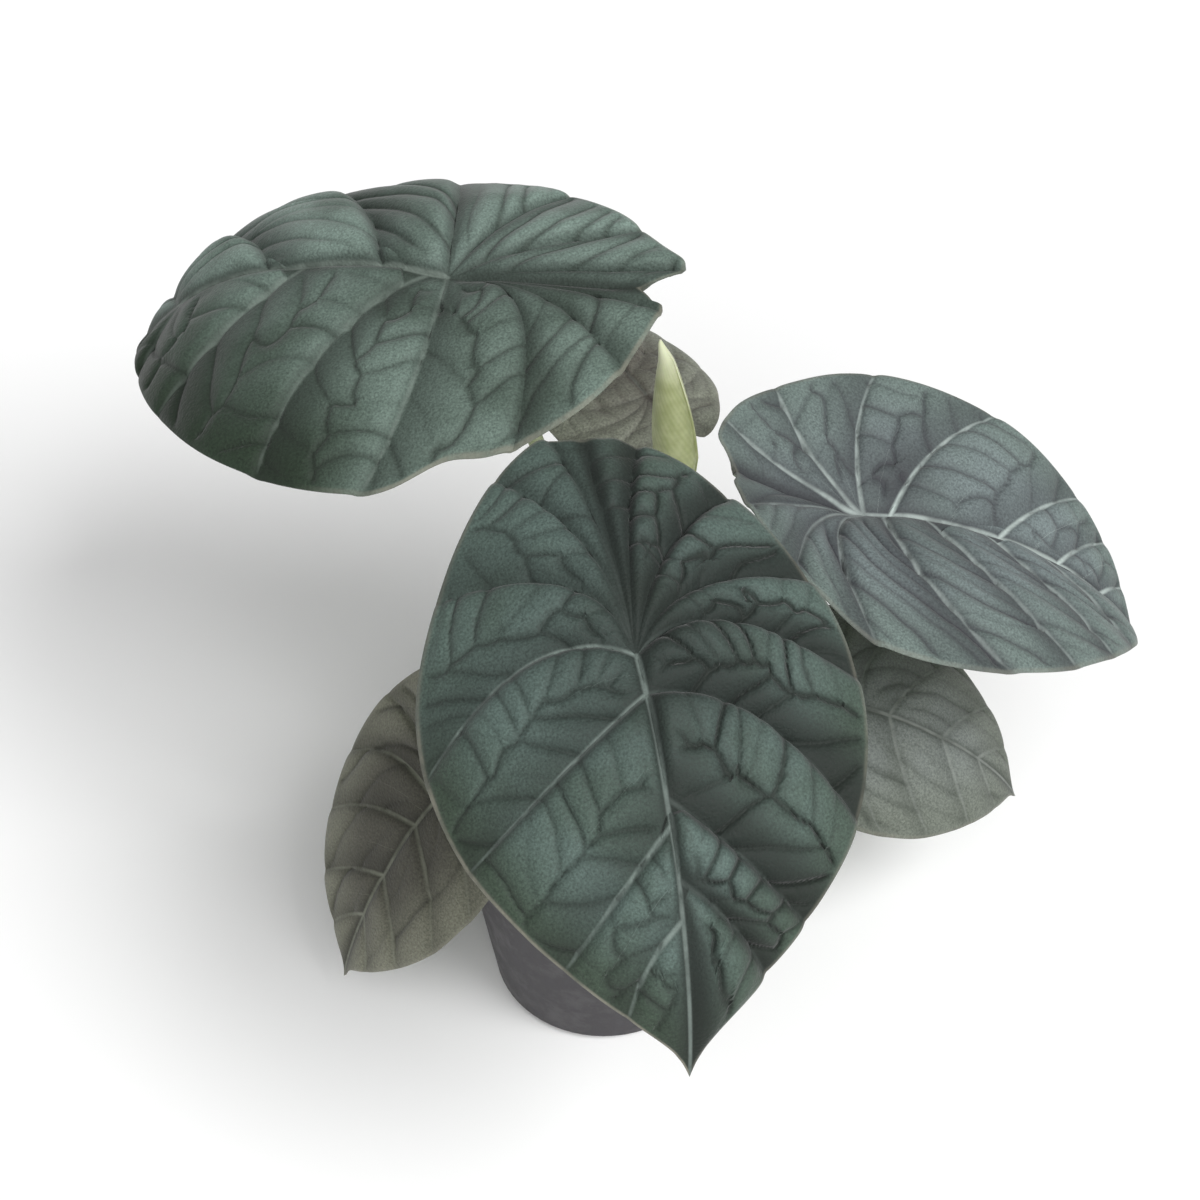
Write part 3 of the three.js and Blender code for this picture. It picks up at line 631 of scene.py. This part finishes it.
def furrow_net(leaf, half, x, y, u, near, far, runs, panel, out, length, spacing):
    """The distance in mm to the nearest furrow, and how strongly it shows. Furrows are the edges of cells
    that lie in a row along the vein nearer the notch, and, where two veins are far apart, in a second row
    along the other one. A row's cells lean out from their vein, so furrows leave it in bows, and they meet
    those of the second row in a zigzag line. They fade near the midrib, the margin and in narrow places.
    length is the way from the midrib to the margin in mm, and out the share of it."""
    scale = leaf["fore"] / FULL_FORE
    seed = leaf["fore"] + 10 * half["wide"]
    width = near + far
    rows = np.ones(TIP_VEIN)
    for p in range(TIP_VEIN):
        middle = width[(panel == p) & (np.abs(out - 0.6) < 0.08)]
        if len(middle) and middle.mean() > TWO_ROWS_WIDTH * scale ** 0.5:
            rows[p] = half["rows"]
    rows = rows[panel]
    q = u * rows + 0.08 * ripple(x, y, WANDER["row"] * scale, seed + 21)
    warp = (1.6 * ripple(x, y, WANDER["bend"] * scale, seed + 17)
            + 0.6 * ripple(x, y, WANDER["kink"] * scale, seed + 8))
    first = leaf["cell"] * spacing * scale ** 0.5 * (1 + 0.14 * ripple(x, y, WANDER["spacing"], seed + 3))
    second = SECOND_ROW_LONGER * first
    run_first = of_vein(runs, panel) - half["lean"] * near + warp
    run_second = of_vein(runs, panel + 1) - SECOND_ROW_LEAN * far + warp
    gap, strength = cell_edges(q, (run_first / first, run_second / second), width / rows, (first, second),
                               half["lean"], rows, seed + panel)
    room = ease(*SPAN["room"], width) * ease(*SPAN["row"], width / rows)
    ends = ease(*SPAN["from midrib"], out * length) * ease(*SPAN["from margin"], (1 - out) * length)
    return gap, strength * room * ends * mix(0.45, 1, half["contrast"])


def relief(leaf, half, vein, out, sizes):
    """Half a blade on its grid: flat x and y, height and depth in mm, and the material's masks.

    With u the share of the way from the vein nearer the notch to the next, the blade swells as
    (1 - exp(-distance / brow)) (1 - u^2.2), steep beside the first vein and sloping down to the next, up
    to the quilt's height. Every furrow sinks it by exp(-distance / reach). Veins and the midrib stand up
    as exp(-d^2) on it, the navel sinks it round the joint, and the margin waves and turns down. Below,
    the depth grows from a thin margin and has a rib under the midrib and each vein."""
    v, o = np.broadcast_arrays(vein, out)
    x, y = fan(leaf, half, v, o)
    gaps, ways, runs = vein_gaps(leaf, half, x, y)
    panel = np.clip(np.floor(v).astype(int), 0, TIP_VEIN - 1)
    near, far = np.abs(of_vein(gaps, panel)), np.abs(of_vein(gaps, panel + 1)) + 1e-6
    width = near + far
    (start_x, start_y), (end_x, end_y) = (fan(leaf, half, v, np.full(o.shape, float(end))) for end in (0, 1))
    length = np.hypot(end_x - start_x, end_y - start_y)
    edge = (1 - o) * length
    scale = leaf["fore"] / FULL_FORE
    fine = scale ** 0.5
    seed = leaf["fore"] + 10 * half["wide"]
    u = near / width
    u = np.clip(u + 0.24 * ripple(x, y, WANDER["swell"] * scale, seed) * u * (1 - u), 0, 1)
    furrow_gap, furrow = furrow_net(leaf, half, x, y, u, near, far, runs, panel, o, length,
                                    sizes.furrow_spacing / MM)

    brow = 1 - fade(near, REACH["brow"] * scale)
    swell = np.minimum(QUILT_STEEPNESS * width, sizes.quilt_height / MM * scale) * brow * (1 - u ** 2.2)
    swell = half["swell"] * swell * (1 - 0.7 * o ** 4)
    dip = furrow * fade(np.hypot(furrow_gap, FURROW_ROUND) - FURROW_ROUND, REACH["furrow"] * fine)
    closest = np.abs(gaps[1:TIP_VEIN]).argmin(0) + 1
    across, way = of_vein(gaps, closest), of_vein(ways, closest)
    in_lobe = closest <= LOBE_VEINS
    to_tip = np.clip(x / leaf["fore"], 0, 1)
    vein_half = sizes.vein_width / MM / 2 * fine * mix(1.3, 0.7, way)
    midrib_half = sizes.vein_width / MM / 2 * fine * mix(1.5, 0.9, to_tip)
    shoulder = HIGH["shoulder"] * scale * (1 - fade(np.abs(gaps).min(0), REACH["shoulder"]))
    ridge = HIGH["vein"] * scale * hump(across, vein_half) * ~in_lobe
    rise = 1 - fade(y, REACH["midline"] * scale)
    wave = HIGH["wave"] * scale * o ** 2 * (1 - fade(y, REACH["wave"]))
    from_joint = np.hypot(x, y)
    behind = ease(*SPAN["behind"], -x)

    height = rise * (swell + shoulder + ridge - sizes.furrow_depth / MM * fine * dip)
    height += wave * ripple(x, y, WANDER["wave"] * scale, seed + 9)
    height += HIGH["midrib"] * scale * hump(y, midrib_half) * (1 - to_tip) * (x >= 0)
    height -= HIGH["margin"] * fade(edge, REACH["margin"]) * rise
    height -= sizes.navel_depth / MM * scale * hump(from_joint, REACH["navel"] * scale)
    sunk = fade(y, REACH["sinus"] * scale) * behind * ease(*SPAN["sinus end"], edge)
    height -= HIGH["sinus"] * scale * sunk

    ribs = np.maximum(HIGH["midrib rib"] * scale * hump(y, REACH["midrib rib"] * scale) * mix(1, 0.4, to_tip),
                      HIGH["vein rib"] * hump(across, REACH["vein rib"]) * (1 - o))
    depth = sizes.blade_thickness / MM * mix(0.35, 1, 1 - fade(edge, REACH["thin edge"])) + ribs

    contrast = half["contrast"]
    fore = ease(*SPAN["fore"], x)
    # Painted shade in the crease where the two lobes meet behind the joint.
    painted_seam_shade = fade(y, REACH["painted_seam_shade"] * scale) * behind * mix(0.3, 0.85, contrast)
    stain_x, stain_y, stain_size, stain_share = half["stain"]
    dusk = half["dusk"] * (1 - ease(2, half["dusk_reach"], edge)) * mix(leaf["lobe_dusk"], 1, fore)
    # Mask of the painted shade and highlight: 1 on a swell's top, falling towards the next vein, near the
    # midrib, along the furrows, in the hollow round the joint and in the seam between the lobes.
    painted_shade_and_highlight = mix(1, brow * (1 - ease(0.35, 1, u)), contrast) * rise * (1 - 0.5 * dip)
    lobe_share = np.where(in_lobe, leaf["lobe_pale"], 1)
    masks = {
        "vein_across": across / vein_half,
        "vein_show": half["pale"] * mix(1, 0.45, way) * ease(*SPAN["vein end"], edge) * lobe_share,
        "midrib_across": np.where(x > 0, y, from_joint) / midrib_half,
        # Painted shade along each furrow's line.
        "furrow": furrow * mix(0.5, 1, contrast) * rise * hump(furrow_gap, REACH["furrow line"]),
        "painted_shade_and_highlight": painted_shade_and_highlight * (1 - half["hollow"] * hump(from_joint, REACH["hollow"] * scale)) * (1 - painted_seam_shade),
        "inner": half["bloom"] * (1 - dusk),
        "rim": mix(half["lobe_rim"], half["rim"], fore) * (1 - ease(*SPAN["rim"], edge)),
        "stain": stain_share * hump(np.hypot(x - stain_x, y - stain_y), stain_size),
    }
    return x, y, height, depth, masks


def make_blade(name, sizes, top_skin, low_skin):
    """A blade from both halves: a fine top, an underside of half the grid, kept below the lowest place
    round each of its points, and the rim between them."""
    leaf = LEAVES[name]
    columns, rows = leaf["grid"]
    counts = np.linspace(0, TIP_VEIN, 801)
    ends = (between(leaf["left"]["ends"], counts) + between(leaf["right"]["ends"], counts)) / 2
    vein = np.interp(np.linspace(0, 1, columns + 1), ends, counts)[None]
    out = np.linspace(0, 1, rows + 1)[:, None]
    points, triangles, kinds, masks, base = [], [], [], [], 0
    for side, half in ((1, leaf["left"]), (-1, leaf["right"])):
        x, y, height, depth, mask = relief(leaf, half, vein, out, sizes)
        top, up = bent(leaf, half, side, x, y, height)
        around = np.pad(height, 1, mode="edge")
        around = [around[i:i + rows + 1, j:j + columns + 1] for i in range(3) for j in range(3)]
        low = (top - up * (depth + height - np.min(around, 0))[..., None])[::2, ::2]
        points += [top.reshape(-1, 3), low.reshape(-1, 3)]
        masks.append({k: np.r_[m.ravel(), m[::2, ::2].ravel()] for k, m in mask.items()})
        under = base + x.size
        faces = grid_triangles(rows, columns, side < 0) + base
        below = grid_triangles(rows // 2, columns // 2, side > 0) + under
        c = np.arange(columns // 2)
        t0 = base + rows * (columns + 1) + 2 * c
        b0 = under + rows // 2 * (columns // 2 + 1) + c
        corners = (t0, t0 + 1, b0), (t0 + 1, t0 + 2, b0 + 1), (t0 + 1, b0 + 1, b0)
        rim = np.concatenate([np.stack(corner, -1) for corner in corners])[:, ::side]
        triangles += [faces, below, rim]
        kinds += [np.zeros(len(faces), int), np.ones(len(below), int), np.zeros(len(rim), int)]
        base = under + low.shape[0] * low.shape[1]
    attributes = {k: np.concatenate([m[k] for m in masks]) for k in masks[0]}
    return new_piece(f"leaf_{name}", placed(leaf, np.concatenate(points)), np.concatenate(triangles),
                     [top_skin, low_skin], attributes, np.concatenate(kinds))


def bezier(points, t):
    """A cubic Bezier curve and its direction."""
    a, b, c, d = np.array(points, float)
    t = t[:, None]
    at = (1 - t) ** 3 * a + 3 * (1 - t) ** 2 * t * b + 3 * (1 - t) * t * t * c + t ** 3 * d
    way = (1 - t) ** 2 * (b - a) + 2 * (1 - t) * t * (c - b) + t * t * (d - c)
    return at, way / np.linalg.norm(way, axis=1, keepdims=True)


def make_stalk(name, foot, bends, top, up, neck, tip, skin):
    """A stalk: rings round a Bezier curve, thick at the sheathing foot with a channel on its inner
    side, finely ribbed, and cut at its top along the face that it carries."""
    start = np.array([*foot, CORM_TOP - FOOT_DEPTH], float)
    mouth = start + [0, 0, FOOT_DEPTH + 1]
    share = np.linspace(0, 1, 73)
    centre, way = bezier([mouth, *bends, top], share)
    outward = top - mouth
    outward[2] = 0
    outward /= np.linalg.norm(outward)
    across = np.array([-outward[1], outward[0], 0])
    flank = across - way * (way @ across)[:, None]
    flank /= np.linalg.norm(flank, axis=1, keepdims=True)
    front = np.cross(flank, way)
    angle = np.linspace(0, 2 * np.pi, 28, endpoint=False)
    cos, sin = np.cos(angle)[:, None], np.sin(angle)[:, None]
    sheath = ease(0.7, 1, 1 - share)[:, None]
    radius = mix(mix(neck, tip, share)[:, None], FOOT_RADIUS, sheath)
    channel = 0.22 * sheath * hump(angle - np.pi, 0.4)
    radius = radius * (1 + 0.02 * np.cos(RIBS * angle) - channel)
    ring = cos * front[:, None] + sin * flank[:, None]
    rings = centre[:, None] + radius[..., None] * ring
    first = start + FOOT_RADIUS * ring[0] * [1, 1, 0]
    over = (rings[-1] - top) @ up
    rings[-1] -= (over / (way[-1] @ up))[:, None] * way[-1]
    points, triangles = tube(np.concatenate([first[None], rings]))
    return new_piece(name, points, triangles, [skin], sharp=60)


def foot_at(degrees):
    """Where a stalk stands on the corm."""
    return FOOT_RING * np.cos(np.radians(degrees)), FOOT_RING * np.sin(np.radians(degrees))


# Sizes and colours


class AlocasiaLeafSizes(bpy.types.PropertyGroup):
    """Sizes of the blades."""
    quilt_height: FloatProperty(name="Quilt height", description="Height of the swell between two veins",
                                default=0.0072, unit="LENGTH")
    navel_depth: FloatProperty(name="Navel depth", description="Depth of the hollow over the stalk",
                               default=0.0025, unit="LENGTH")
    furrow_depth: FloatProperty(name="Furrow depth", description="Depth of the furrows across a swell",
                                default=0.002, unit="LENGTH")
    furrow_spacing: FloatProperty(name="Furrow spacing", description="Distance between two cross furrows",
                                  default=0.0095, unit="LENGTH")
    vein_width: FloatProperty(name="Vein width", description="Width of a primary vein near the midrib",
                              default=0.0014, unit="LENGTH")
    blade_thickness: FloatProperty(name="Blade thickness", description="Thickness away from the veins",
                                   default=0.0011, unit="LENGTH")


class AlocasiaStalkSizes(bpy.types.PropertyGroup):
    """Sizes and colours of the open leaves' stalks."""
    neck_radius: FloatProperty(name="Lower radius", description="Radius of a stalk above its sheath",
                               default=0.003, unit="LENGTH")
    tip_radius: FloatProperty(name="Upper radius", description="Radius of a stalk under its blade",
                              default=0.0024, unit="LENGTH")
    colour: FloatVectorProperty(name="Stalk colour", description="Colour of the stalks", subtype="COLOR",
                                default=linear("#86906b"), min=0, max=1)
    bloom: FloatVectorProperty(name="Bloom colour", description="Colour of the waxy bloom", subtype="COLOR",
                               default=linear("#a0a68a"), min=0, max=1)


class AlocasiaNewLeafSizes(bpy.types.PropertyGroup):
    """Sizes and colours of the rolled new leaf."""
    radius: FloatProperty(name="Radius", description="Radius at its thickest", default=0.0073, unit="LENGTH")
    overlap: FloatProperty(name="Overlap", description="Step where its margin laps over itself",
                           default=0.0009, unit="LENGTH")
    colour: FloatVectorProperty(name="Pale colour", description="Colour of the rolled blade", subtype="COLOR",
                                default=linear("#999e77"), min=0, max=1)


class AlocasiaPotSizes(bpy.types.PropertyGroup):
    """Sizes and colours of the pot and what it holds."""
    plastic: FloatVectorProperty(name="Pot colour", description="Colour of the plastic", subtype="COLOR",
                                 default=linear("#262228"), min=0, max=1)
    soil: FloatVectorProperty(name="Soil colour", description="Colour of the dark crumbs", subtype="COLOR",
                              default=linear("#2c221b"), min=0, max=1)
    crumbs: IntProperty(name="Crumbs", description="Loose crumbs lying on the soil", default=260, min=0)


class AlocasiaStageSizes(bpy.types.PropertyGroup):
    """The floor, the lights and the camera."""
    key: FloatProperty(name="Key strength", description="Strength of the soft key light", default=2.7)
    key_spread: FloatProperty(name="Key spread", description="How wide the key light looks from the plant",
                              default=np.radians(32), subtype="ANGLE")
    fill: FloatProperty(name="Fill strength", description="Strength of the softer light from the front",
                        default=1.4)
    fill_spread: FloatProperty(name="Fill spread", description="How wide the fill light looks from the plant",
                               default=np.radians(40), subtype="ANGLE")
    sky: FloatProperty(name="Sky strength", description="Strength of the even light all round", default=0.18)
    distance: FloatProperty(name="Camera distance", description="Camera to the aim point",
                            default=0.88, unit="LENGTH")
    elevation: FloatProperty(name="Camera elevation", description="Angle above the horizon",
                             default=np.radians(46), subtype="ANGLE")


# Operators


class ALOCASIA_OT_pot(bpy.types.Operator):
    """Make the nursery pot: the frame's own pot, merged and shaded as one smooth moulding"""
    bl_idname = "alocasia.pot"
    bl_label = "Pot"

    def execute(self, context):
        sizes = context.scene.alocasia_pot
        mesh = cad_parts["pot"].data.copy()
        mesh.materials.clear()
        mesh.materials.append(moulded_plastic("moulded polypropylene", sizes.plastic, "#545458", "#1f1d20"))
        work = bmesh.new()
        work.from_mesh(mesh)
        bmesh.ops.remove_doubles(work, verts=work.verts, dist=1e-6)
        work.to_mesh(mesh)
        work.free()
        mesh.shade_smooth()
        mesh.set_sharp_from_angle(angle=np.radians(32))
        pot = bpy.data.objects.new("nursery_pot", mesh)
        context.scene.collection.objects.link(pot)
        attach(pot, "root")
        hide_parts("pot")
        return {"FINISHED"}


class ALOCASIA_OT_soil(bpy.types.Operator):
    """Make the potting mix and the loose crumbs that lie on it"""
    bl_idname = "alocasia.soil"
    bl_label = "Soil"

    def execute(self, context):
        sizes = context.scene.alocasia_pot
        skin = crumbly("potting mix", sizes.soil, "#5d4a3a", 2.4, 0.9)

        def wall(z):
            return mix(POT_BASE, POT_RIM, z / POT_HIGH) - POT_WALL

        def crumb_height(px, py):
            coarse = np.sin(0.31 * px + 1.3) * np.cos(0.27 * py - 0.4) + 0.6 * np.sin(0.19 * (px + py))
            fine = np.sin(0.83 * px - 0.6 * py) * np.cos(0.71 * py + 0.35 * px)
            return 1.2 * (0.6 * coarse + 0.7 * fine)

        side = [(wall(z), z) for z in (SOIL_FLOOR, SOIL_TOP / 2, SOIL_TOP - 4)]
        top = [(mix(wall(SOIL_TOP - 2), PIT_RADIUS, i / 44), SOIL_TOP) for i in range(45)]
        profile = [(AXIS, SOIL_FLOOR), *side, *top, (PIT_RADIUS, PIT_FLOOR), (AXIS, PIT_FLOOR)]

        def roughen(r, z, a):
            px, py = r * np.cos(a), r * np.sin(a)
            rough = crumb_height(px, py) + 0.5 * ripple(px, py, 2.6, 4) + 0.7 * ripple(px, py, 5.1, 9)
            return r, np.where(z == SOIL_TOP, z + rough, z)

        points, triangles = tube(revolved(profile, 160, roughen))
        soil = new_piece("potting_mix", points, triangles[:, ::-1], [skin], sharp=180)
        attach(soil, "root")
        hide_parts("soil")

        rng = np.random.default_rng(7)
        lump, faces = tube(revolved([(AXIS, -0.9), (0.75, -0.55), (1, 0), (0.7, 0.6), (AXIS, 0.85)], 7))
        places, shapes = [], []
        for i in range(sizes.crumbs):
            r = np.sqrt(rng.uniform(19 ** 2, 46 ** 2))
            a = rng.uniform(0, 2 * np.pi)
            size = rng.uniform(0.7, 2.3) * np.array([1, rng.uniform(0.6, 1.2), rng.uniform(0.45, 0.8)])
            turn = rng.uniform(0, 2 * np.pi)
            px, py = r * np.cos(a), r * np.sin(a)
            shaped = lump * size * (1 + 0.18 * rng.standard_normal((len(lump), 1)))
            cos, sin = np.cos(turn), np.sin(turn)
            spun = shaped @ np.array([[cos, sin, 0], [-sin, cos, 0], [0, 0, 1]])
            places.append(spun + [px, py, SOIL_TOP + 0.2 + crumb_height(px, py) + 0.3 * size[2]])
            shapes.append(faces[:, ::-1] + i * len(lump))
        bark = crumbly("bark crumbs", "#33261c", "#7a6148", 1.6, 0.5)
        bits = new_piece("loose_crumbs", np.concatenate(places), np.concatenate(shapes), [bark], sharp=35)
        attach(bits, "root")
        return {"FINISHED"}


class ALOCASIA_OT_corm(bpy.types.Operator):
    """Make the corm that the stalks stand on: a turned stump with leaf scars and fibres"""
    bl_idname = "alocasia.corm"
    bl_label = "Corm"

    def execute(self, context):
        skin = crumbly("fibrous corm", "#4a3a29", "#8c7a58", 1.3, 0.4)
        z = np.linspace(66, 84, 40)
        radius = 15.3 - 1.6 * ease(79, 84, z) - 0.5 * np.abs(np.sin(z * 1.15)) ** 0.6
        profile = [(AXIS, 52.2), (10.5, 55), (15.2, 64), *zip(radius, z), (12.8, 84.6), (AXIS, 84.9)]

        def fibres(r, z, a):
            shaggy = 0.35 * np.sin(29 * a + 0.4 * z) + 0.25 * np.sin(47 * a - 0.7 * z)
            return r + shaggy * (r > 9) * ease(62, 66, z) * (1 - ease(82, 84, z)), z

        points, triangles = tube(revolved(profile, 144, fibres))
        corm = new_piece("stem_corm", points, triangles[:, ::-1], [skin], sharp=180)
        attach(corm, "root")
        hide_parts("corm")
        return {"FINISHED"}


class ALOCASIA_OT_stalks(bpy.types.Operator):
    """Make the stalks of the open leaves"""
    bl_idname = "alocasia.stalks"
    bl_label = "Stalks"

    def execute(self, context):
        sizes = context.scene.alocasia_stalks
        skin = stalk_skin("bloomy leaf stalk", sizes.colour, sizes.bloom)
        for name, leaf in LEAVES.items():
            degrees, low, high = leaf["stalk"]
            up = placed({**leaf, "joint": (0, 0, 0)}, np.array([0.0, 0, 1]))
            top = np.array(leaf["joint"]) - (1.5 + 2.5 * leaf["fore"] / FULL_FORE) * up
            stalk = make_stalk(f"petiole_{name}", foot_at(degrees), (low, high), top, up,
                               sizes.neck_radius / MM, sizes.tip_radius / MM, skin)
            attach(stalk, "root")
            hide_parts(f"stalk_{name}")
        return {"FINISHED"}


class ALOCASIA_OT_blades(bpy.types.Operator):
    """Make the six open blades with their veins, swells and furrows"""
    bl_idname = "alocasia.blades"
    bl_label = "Blades"

    def execute(self, context):
        sizes = context.scene.alocasia_leaves
        worn = "#838174"
        # The fourth colour of each look is the dark one that the painted shade in furrows and valleys turns
        # to; the stain uses it too.
        looks = {
            "back_left": ("#212d21", "#71827a", "#98a59c", "#222922", 0.5, "blade"),
            "front": ("#313d32", "#4d5c57", "#8d9a94", "#1f2420", 0.6, "blade"),
            "right": ("#5c6864", "#646e6e", "#abb6b2", "#333137", 1.0, "blade"),
            "back": ("#74776c", "#595750", "#7f877e", "#3f3633", 0.4, "blade"),
            "low_right": ("#5a5f57", "#636865", "#8f948f", "#363c35", 0.7, "blade_pale"),
            "low_left": ("#6a6b5e", "#48473f", "#8c9081", "#2b2b24", 0.8, "blade_old"),
        }
        # The underside's fourth colour is that of its painted shade in furrows and valleys.
        under = velvet_blade("pale leaf underside", "#7d8b72", "#86927e", "#a9b398", "#5f6d55", "#a9b398",
                             0.8)
        for name, (base, cool, vein, furrow, show, slot) in looks.items():
            finish = f"velvety leaf blade {name.replace('_', ' ')}"
            skin = velvet_blade(finish, base, cool, vein, furrow, worn, show)
            piece = make_blade(name, sizes, skin, under)
            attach(piece, "root")
            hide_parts(f"blade_{name}")
        return {"FINISHED"}


class ALOCASIA_OT_new_leaf(bpy.types.Operator):
    """Make the rolled new leaf and its stalk"""
    bl_idname = "alocasia.new_leaf"
    bl_label = "Rolled new leaf"

    def execute(self, context):
        sizes = context.scene.alocasia_new_leaf
        base, tip = np.array([23.5, 29, 198]), np.array([18, 33, 259.0])
        share = np.linspace(0, 1, 121)
        above = np.clip((share - 0.25) / 0.76, 0, 1)
        girth = np.where(share < 0.25, mix(0.6, 1, share / 0.25), np.cos(above * np.pi / 2) ** 0.8)
        wrap = np.r_[np.linspace(0, 0.03, 6), np.linspace(0.05, 0.97, 92), np.linspace(0.98, 1, 4)]
        angle = np.radians(8 - 34 * share)[:, None] + 2 * np.pi * wrap[None]
        lip = 1 - 0.6 * np.exp(-wrap / 0.008)
        inwards = sizes.overlap / MM * (wrap * lip + 0.4 * (1 - lip))
        radius = girth[:, None] * (sizes.radius / MM - inwards)
        radius = radius * (1 + 0.006 * np.sin(38 * wrap + 14 * share[:, None]))
        centre = base + share[:, None] * (tip - base) + np.array([-1.2, 0, 0]) * ease(0.86, 1, share)[:, None]
        rings = centre[:, None] + np.stack([radius * np.cos(angle), radius * np.sin(angle), 0 * radius], -1)
        points, triangles = tube(rings)
        rise = np.r_[np.repeat(share, len(wrap) + 1), 0, 1]
        around = np.r_[np.tile(np.r_[wrap, 1], len(share)), 0, 0]
        skin = rolled_blade("pale rolled blade", sizes.colour, "#838a5e", "#666d40", "#cdd1b4")
        bud = new_piece("rolled_leaf", points, triangles, [skin], {"wrap": around, "rise": rise}, sharp=55)
        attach(bud, "root")
        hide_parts("new_leaf")
        young = stalk_skin("young leaf stalk", linear("#9aa777"), linear("#b3bb92"))
        stalk = make_stalk("petiole_new_leaf", (0, 0), ((0, 2, 146), (25, 25, 150)), base + [0, 0, 0.4],
                           np.array([0.0, 0, 1]), 3.0, 3.2, young)
        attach(stalk, "root")
        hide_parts("stalk_new_leaf")
        return {"FINISHED"}


class ALOCASIA_OT_stage(bpy.types.Operator):
    """Make the floor, the soft studio light and the camera"""
    bl_idname = "alocasia.stage"
    bl_label = "Stage"

    def execute(self, context):
        scene = context.scene
        sizes = scene.alocasia_stage
        mesh = bpy.data.meshes.new("floor")
        half, below = 60, 0.3 * MM
        corners = [(x * half, y * half, -below) for x, y in ((-1, -1), (1, -1), (1, 1), (-1, 1))]
        mesh.from_pydata(corners, [], [(0, 1, 2, 3)])
        material, add = new_material("matt white paper")
        add("output", add("surface", rgba("#f7f7f7"), 0.9, named={"Specular IOR Level": 0.1}))
        mesh.materials.append(material)
        floor = bpy.data.objects.new("floor", mesh)
        scene.collection.objects.link(floor)

        world = bpy.data.worlds.new("studio")
        world.use_nodes = True
        background = world.node_tree.nodes["Background"]
        background.inputs["Color"].default_value = (1, 1, 1, 1)
        background.inputs["Strength"].default_value = sizes.sky
        scene.world = world

        for name, strength, spread, place in (("key", sizes.key, sizes.key_spread, (0.65, -0.56, 1)),
                                              ("fill", sizes.fill, sizes.fill_spread, (-0.05, -0.95, 1))):
            light = bpy.data.lights.new(name, "SUN")
            light.energy, light.angle = strength, spread
            lamp = bpy.data.objects.new(name, light)
            lamp.location = place
            lamp.rotation_euler = Vector(place).to_track_quat("Z", "Y").to_euler()
            scene.collection.objects.link(lamp)

        aim = Vector((-0.0013, 0, 0.181))
        back = Vector((0, -np.cos(sizes.elevation), np.sin(sizes.elevation)))
        camera = bpy.data.objects.new("camera", bpy.data.cameras.new("camera"))
        camera.data.sensor_width = 36
        camera.data.lens = 84.75
        camera.data.clip_start = 0.01
        camera.location = aim + back * sizes.distance
        camera.rotation_euler = (-back).to_track_quat("-Z", "Y").to_euler()
        scene.collection.objects.link(camera)
        scene.camera = camera
        scene.view_settings.view_transform = "Standard"
        return {"FINISHED"}


class ALOCASIA_PT_panel(bpy.types.Panel):
    """The pieces and their sizes, in the sidebar"""
    bl_idname = "ALOCASIA_PT_panel"
    bl_label = "Potted alocasia"
    bl_space_type = "VIEW_3D"
    bl_region_type = "UI"
    bl_category = "Alocasia"

    def draw(self, context):
        for operator, group in PIECES:
            box = self.layout.box()
            box.operator(operator)
            if group:
                settings = getattr(context.scene, group)
                for key in settings.__annotations__:
                    box.prop(settings, key)


PIECES = [
    ("alocasia.stage", "alocasia_stage"),
    ("alocasia.pot", "alocasia_pot"),
    ("alocasia.soil", None),
    ("alocasia.corm", None),
    ("alocasia.stalks", "alocasia_stalks"),
    ("alocasia.blades", "alocasia_leaves"),
    ("alocasia.new_leaf", "alocasia_new_leaf"),
]
GROUPS = {
    "alocasia_stage": AlocasiaStageSizes,
    "alocasia_pot": AlocasiaPotSizes,
    "alocasia_stalks": AlocasiaStalkSizes,
    "alocasia_leaves": AlocasiaLeafSizes,
    "alocasia_new_leaf": AlocasiaNewLeafSizes,
}
CLASSES = [*GROUPS.values(), ALOCASIA_OT_pot, ALOCASIA_OT_soil, ALOCASIA_OT_corm, ALOCASIA_OT_stalks,
           ALOCASIA_OT_blades, ALOCASIA_OT_new_leaf, ALOCASIA_OT_stage, ALOCASIA_PT_panel]


def register():
    """Registers the classes and hangs the sizes on the scene."""
    for made in CLASSES:
        bpy.utils.register_class(made)
    for key, group in GROUPS.items():
        setattr(bpy.types.Scene, key, PointerProperty(type=group))


def unregister():
    """Takes the sizes off the scene and unregisters the classes."""
    for key in GROUPS:
        delattr(bpy.types.Scene, key)
    for made in reversed(CLASSES):
        bpy.utils.unregister_class(made)


def main():
    """Makes every piece in order."""
    register()
    for operator, _ in PIECES:
        group, name = operator.split(".")
        getattr(getattr(bpy.ops, group), name)()


if __name__ == "__main__":
    main()
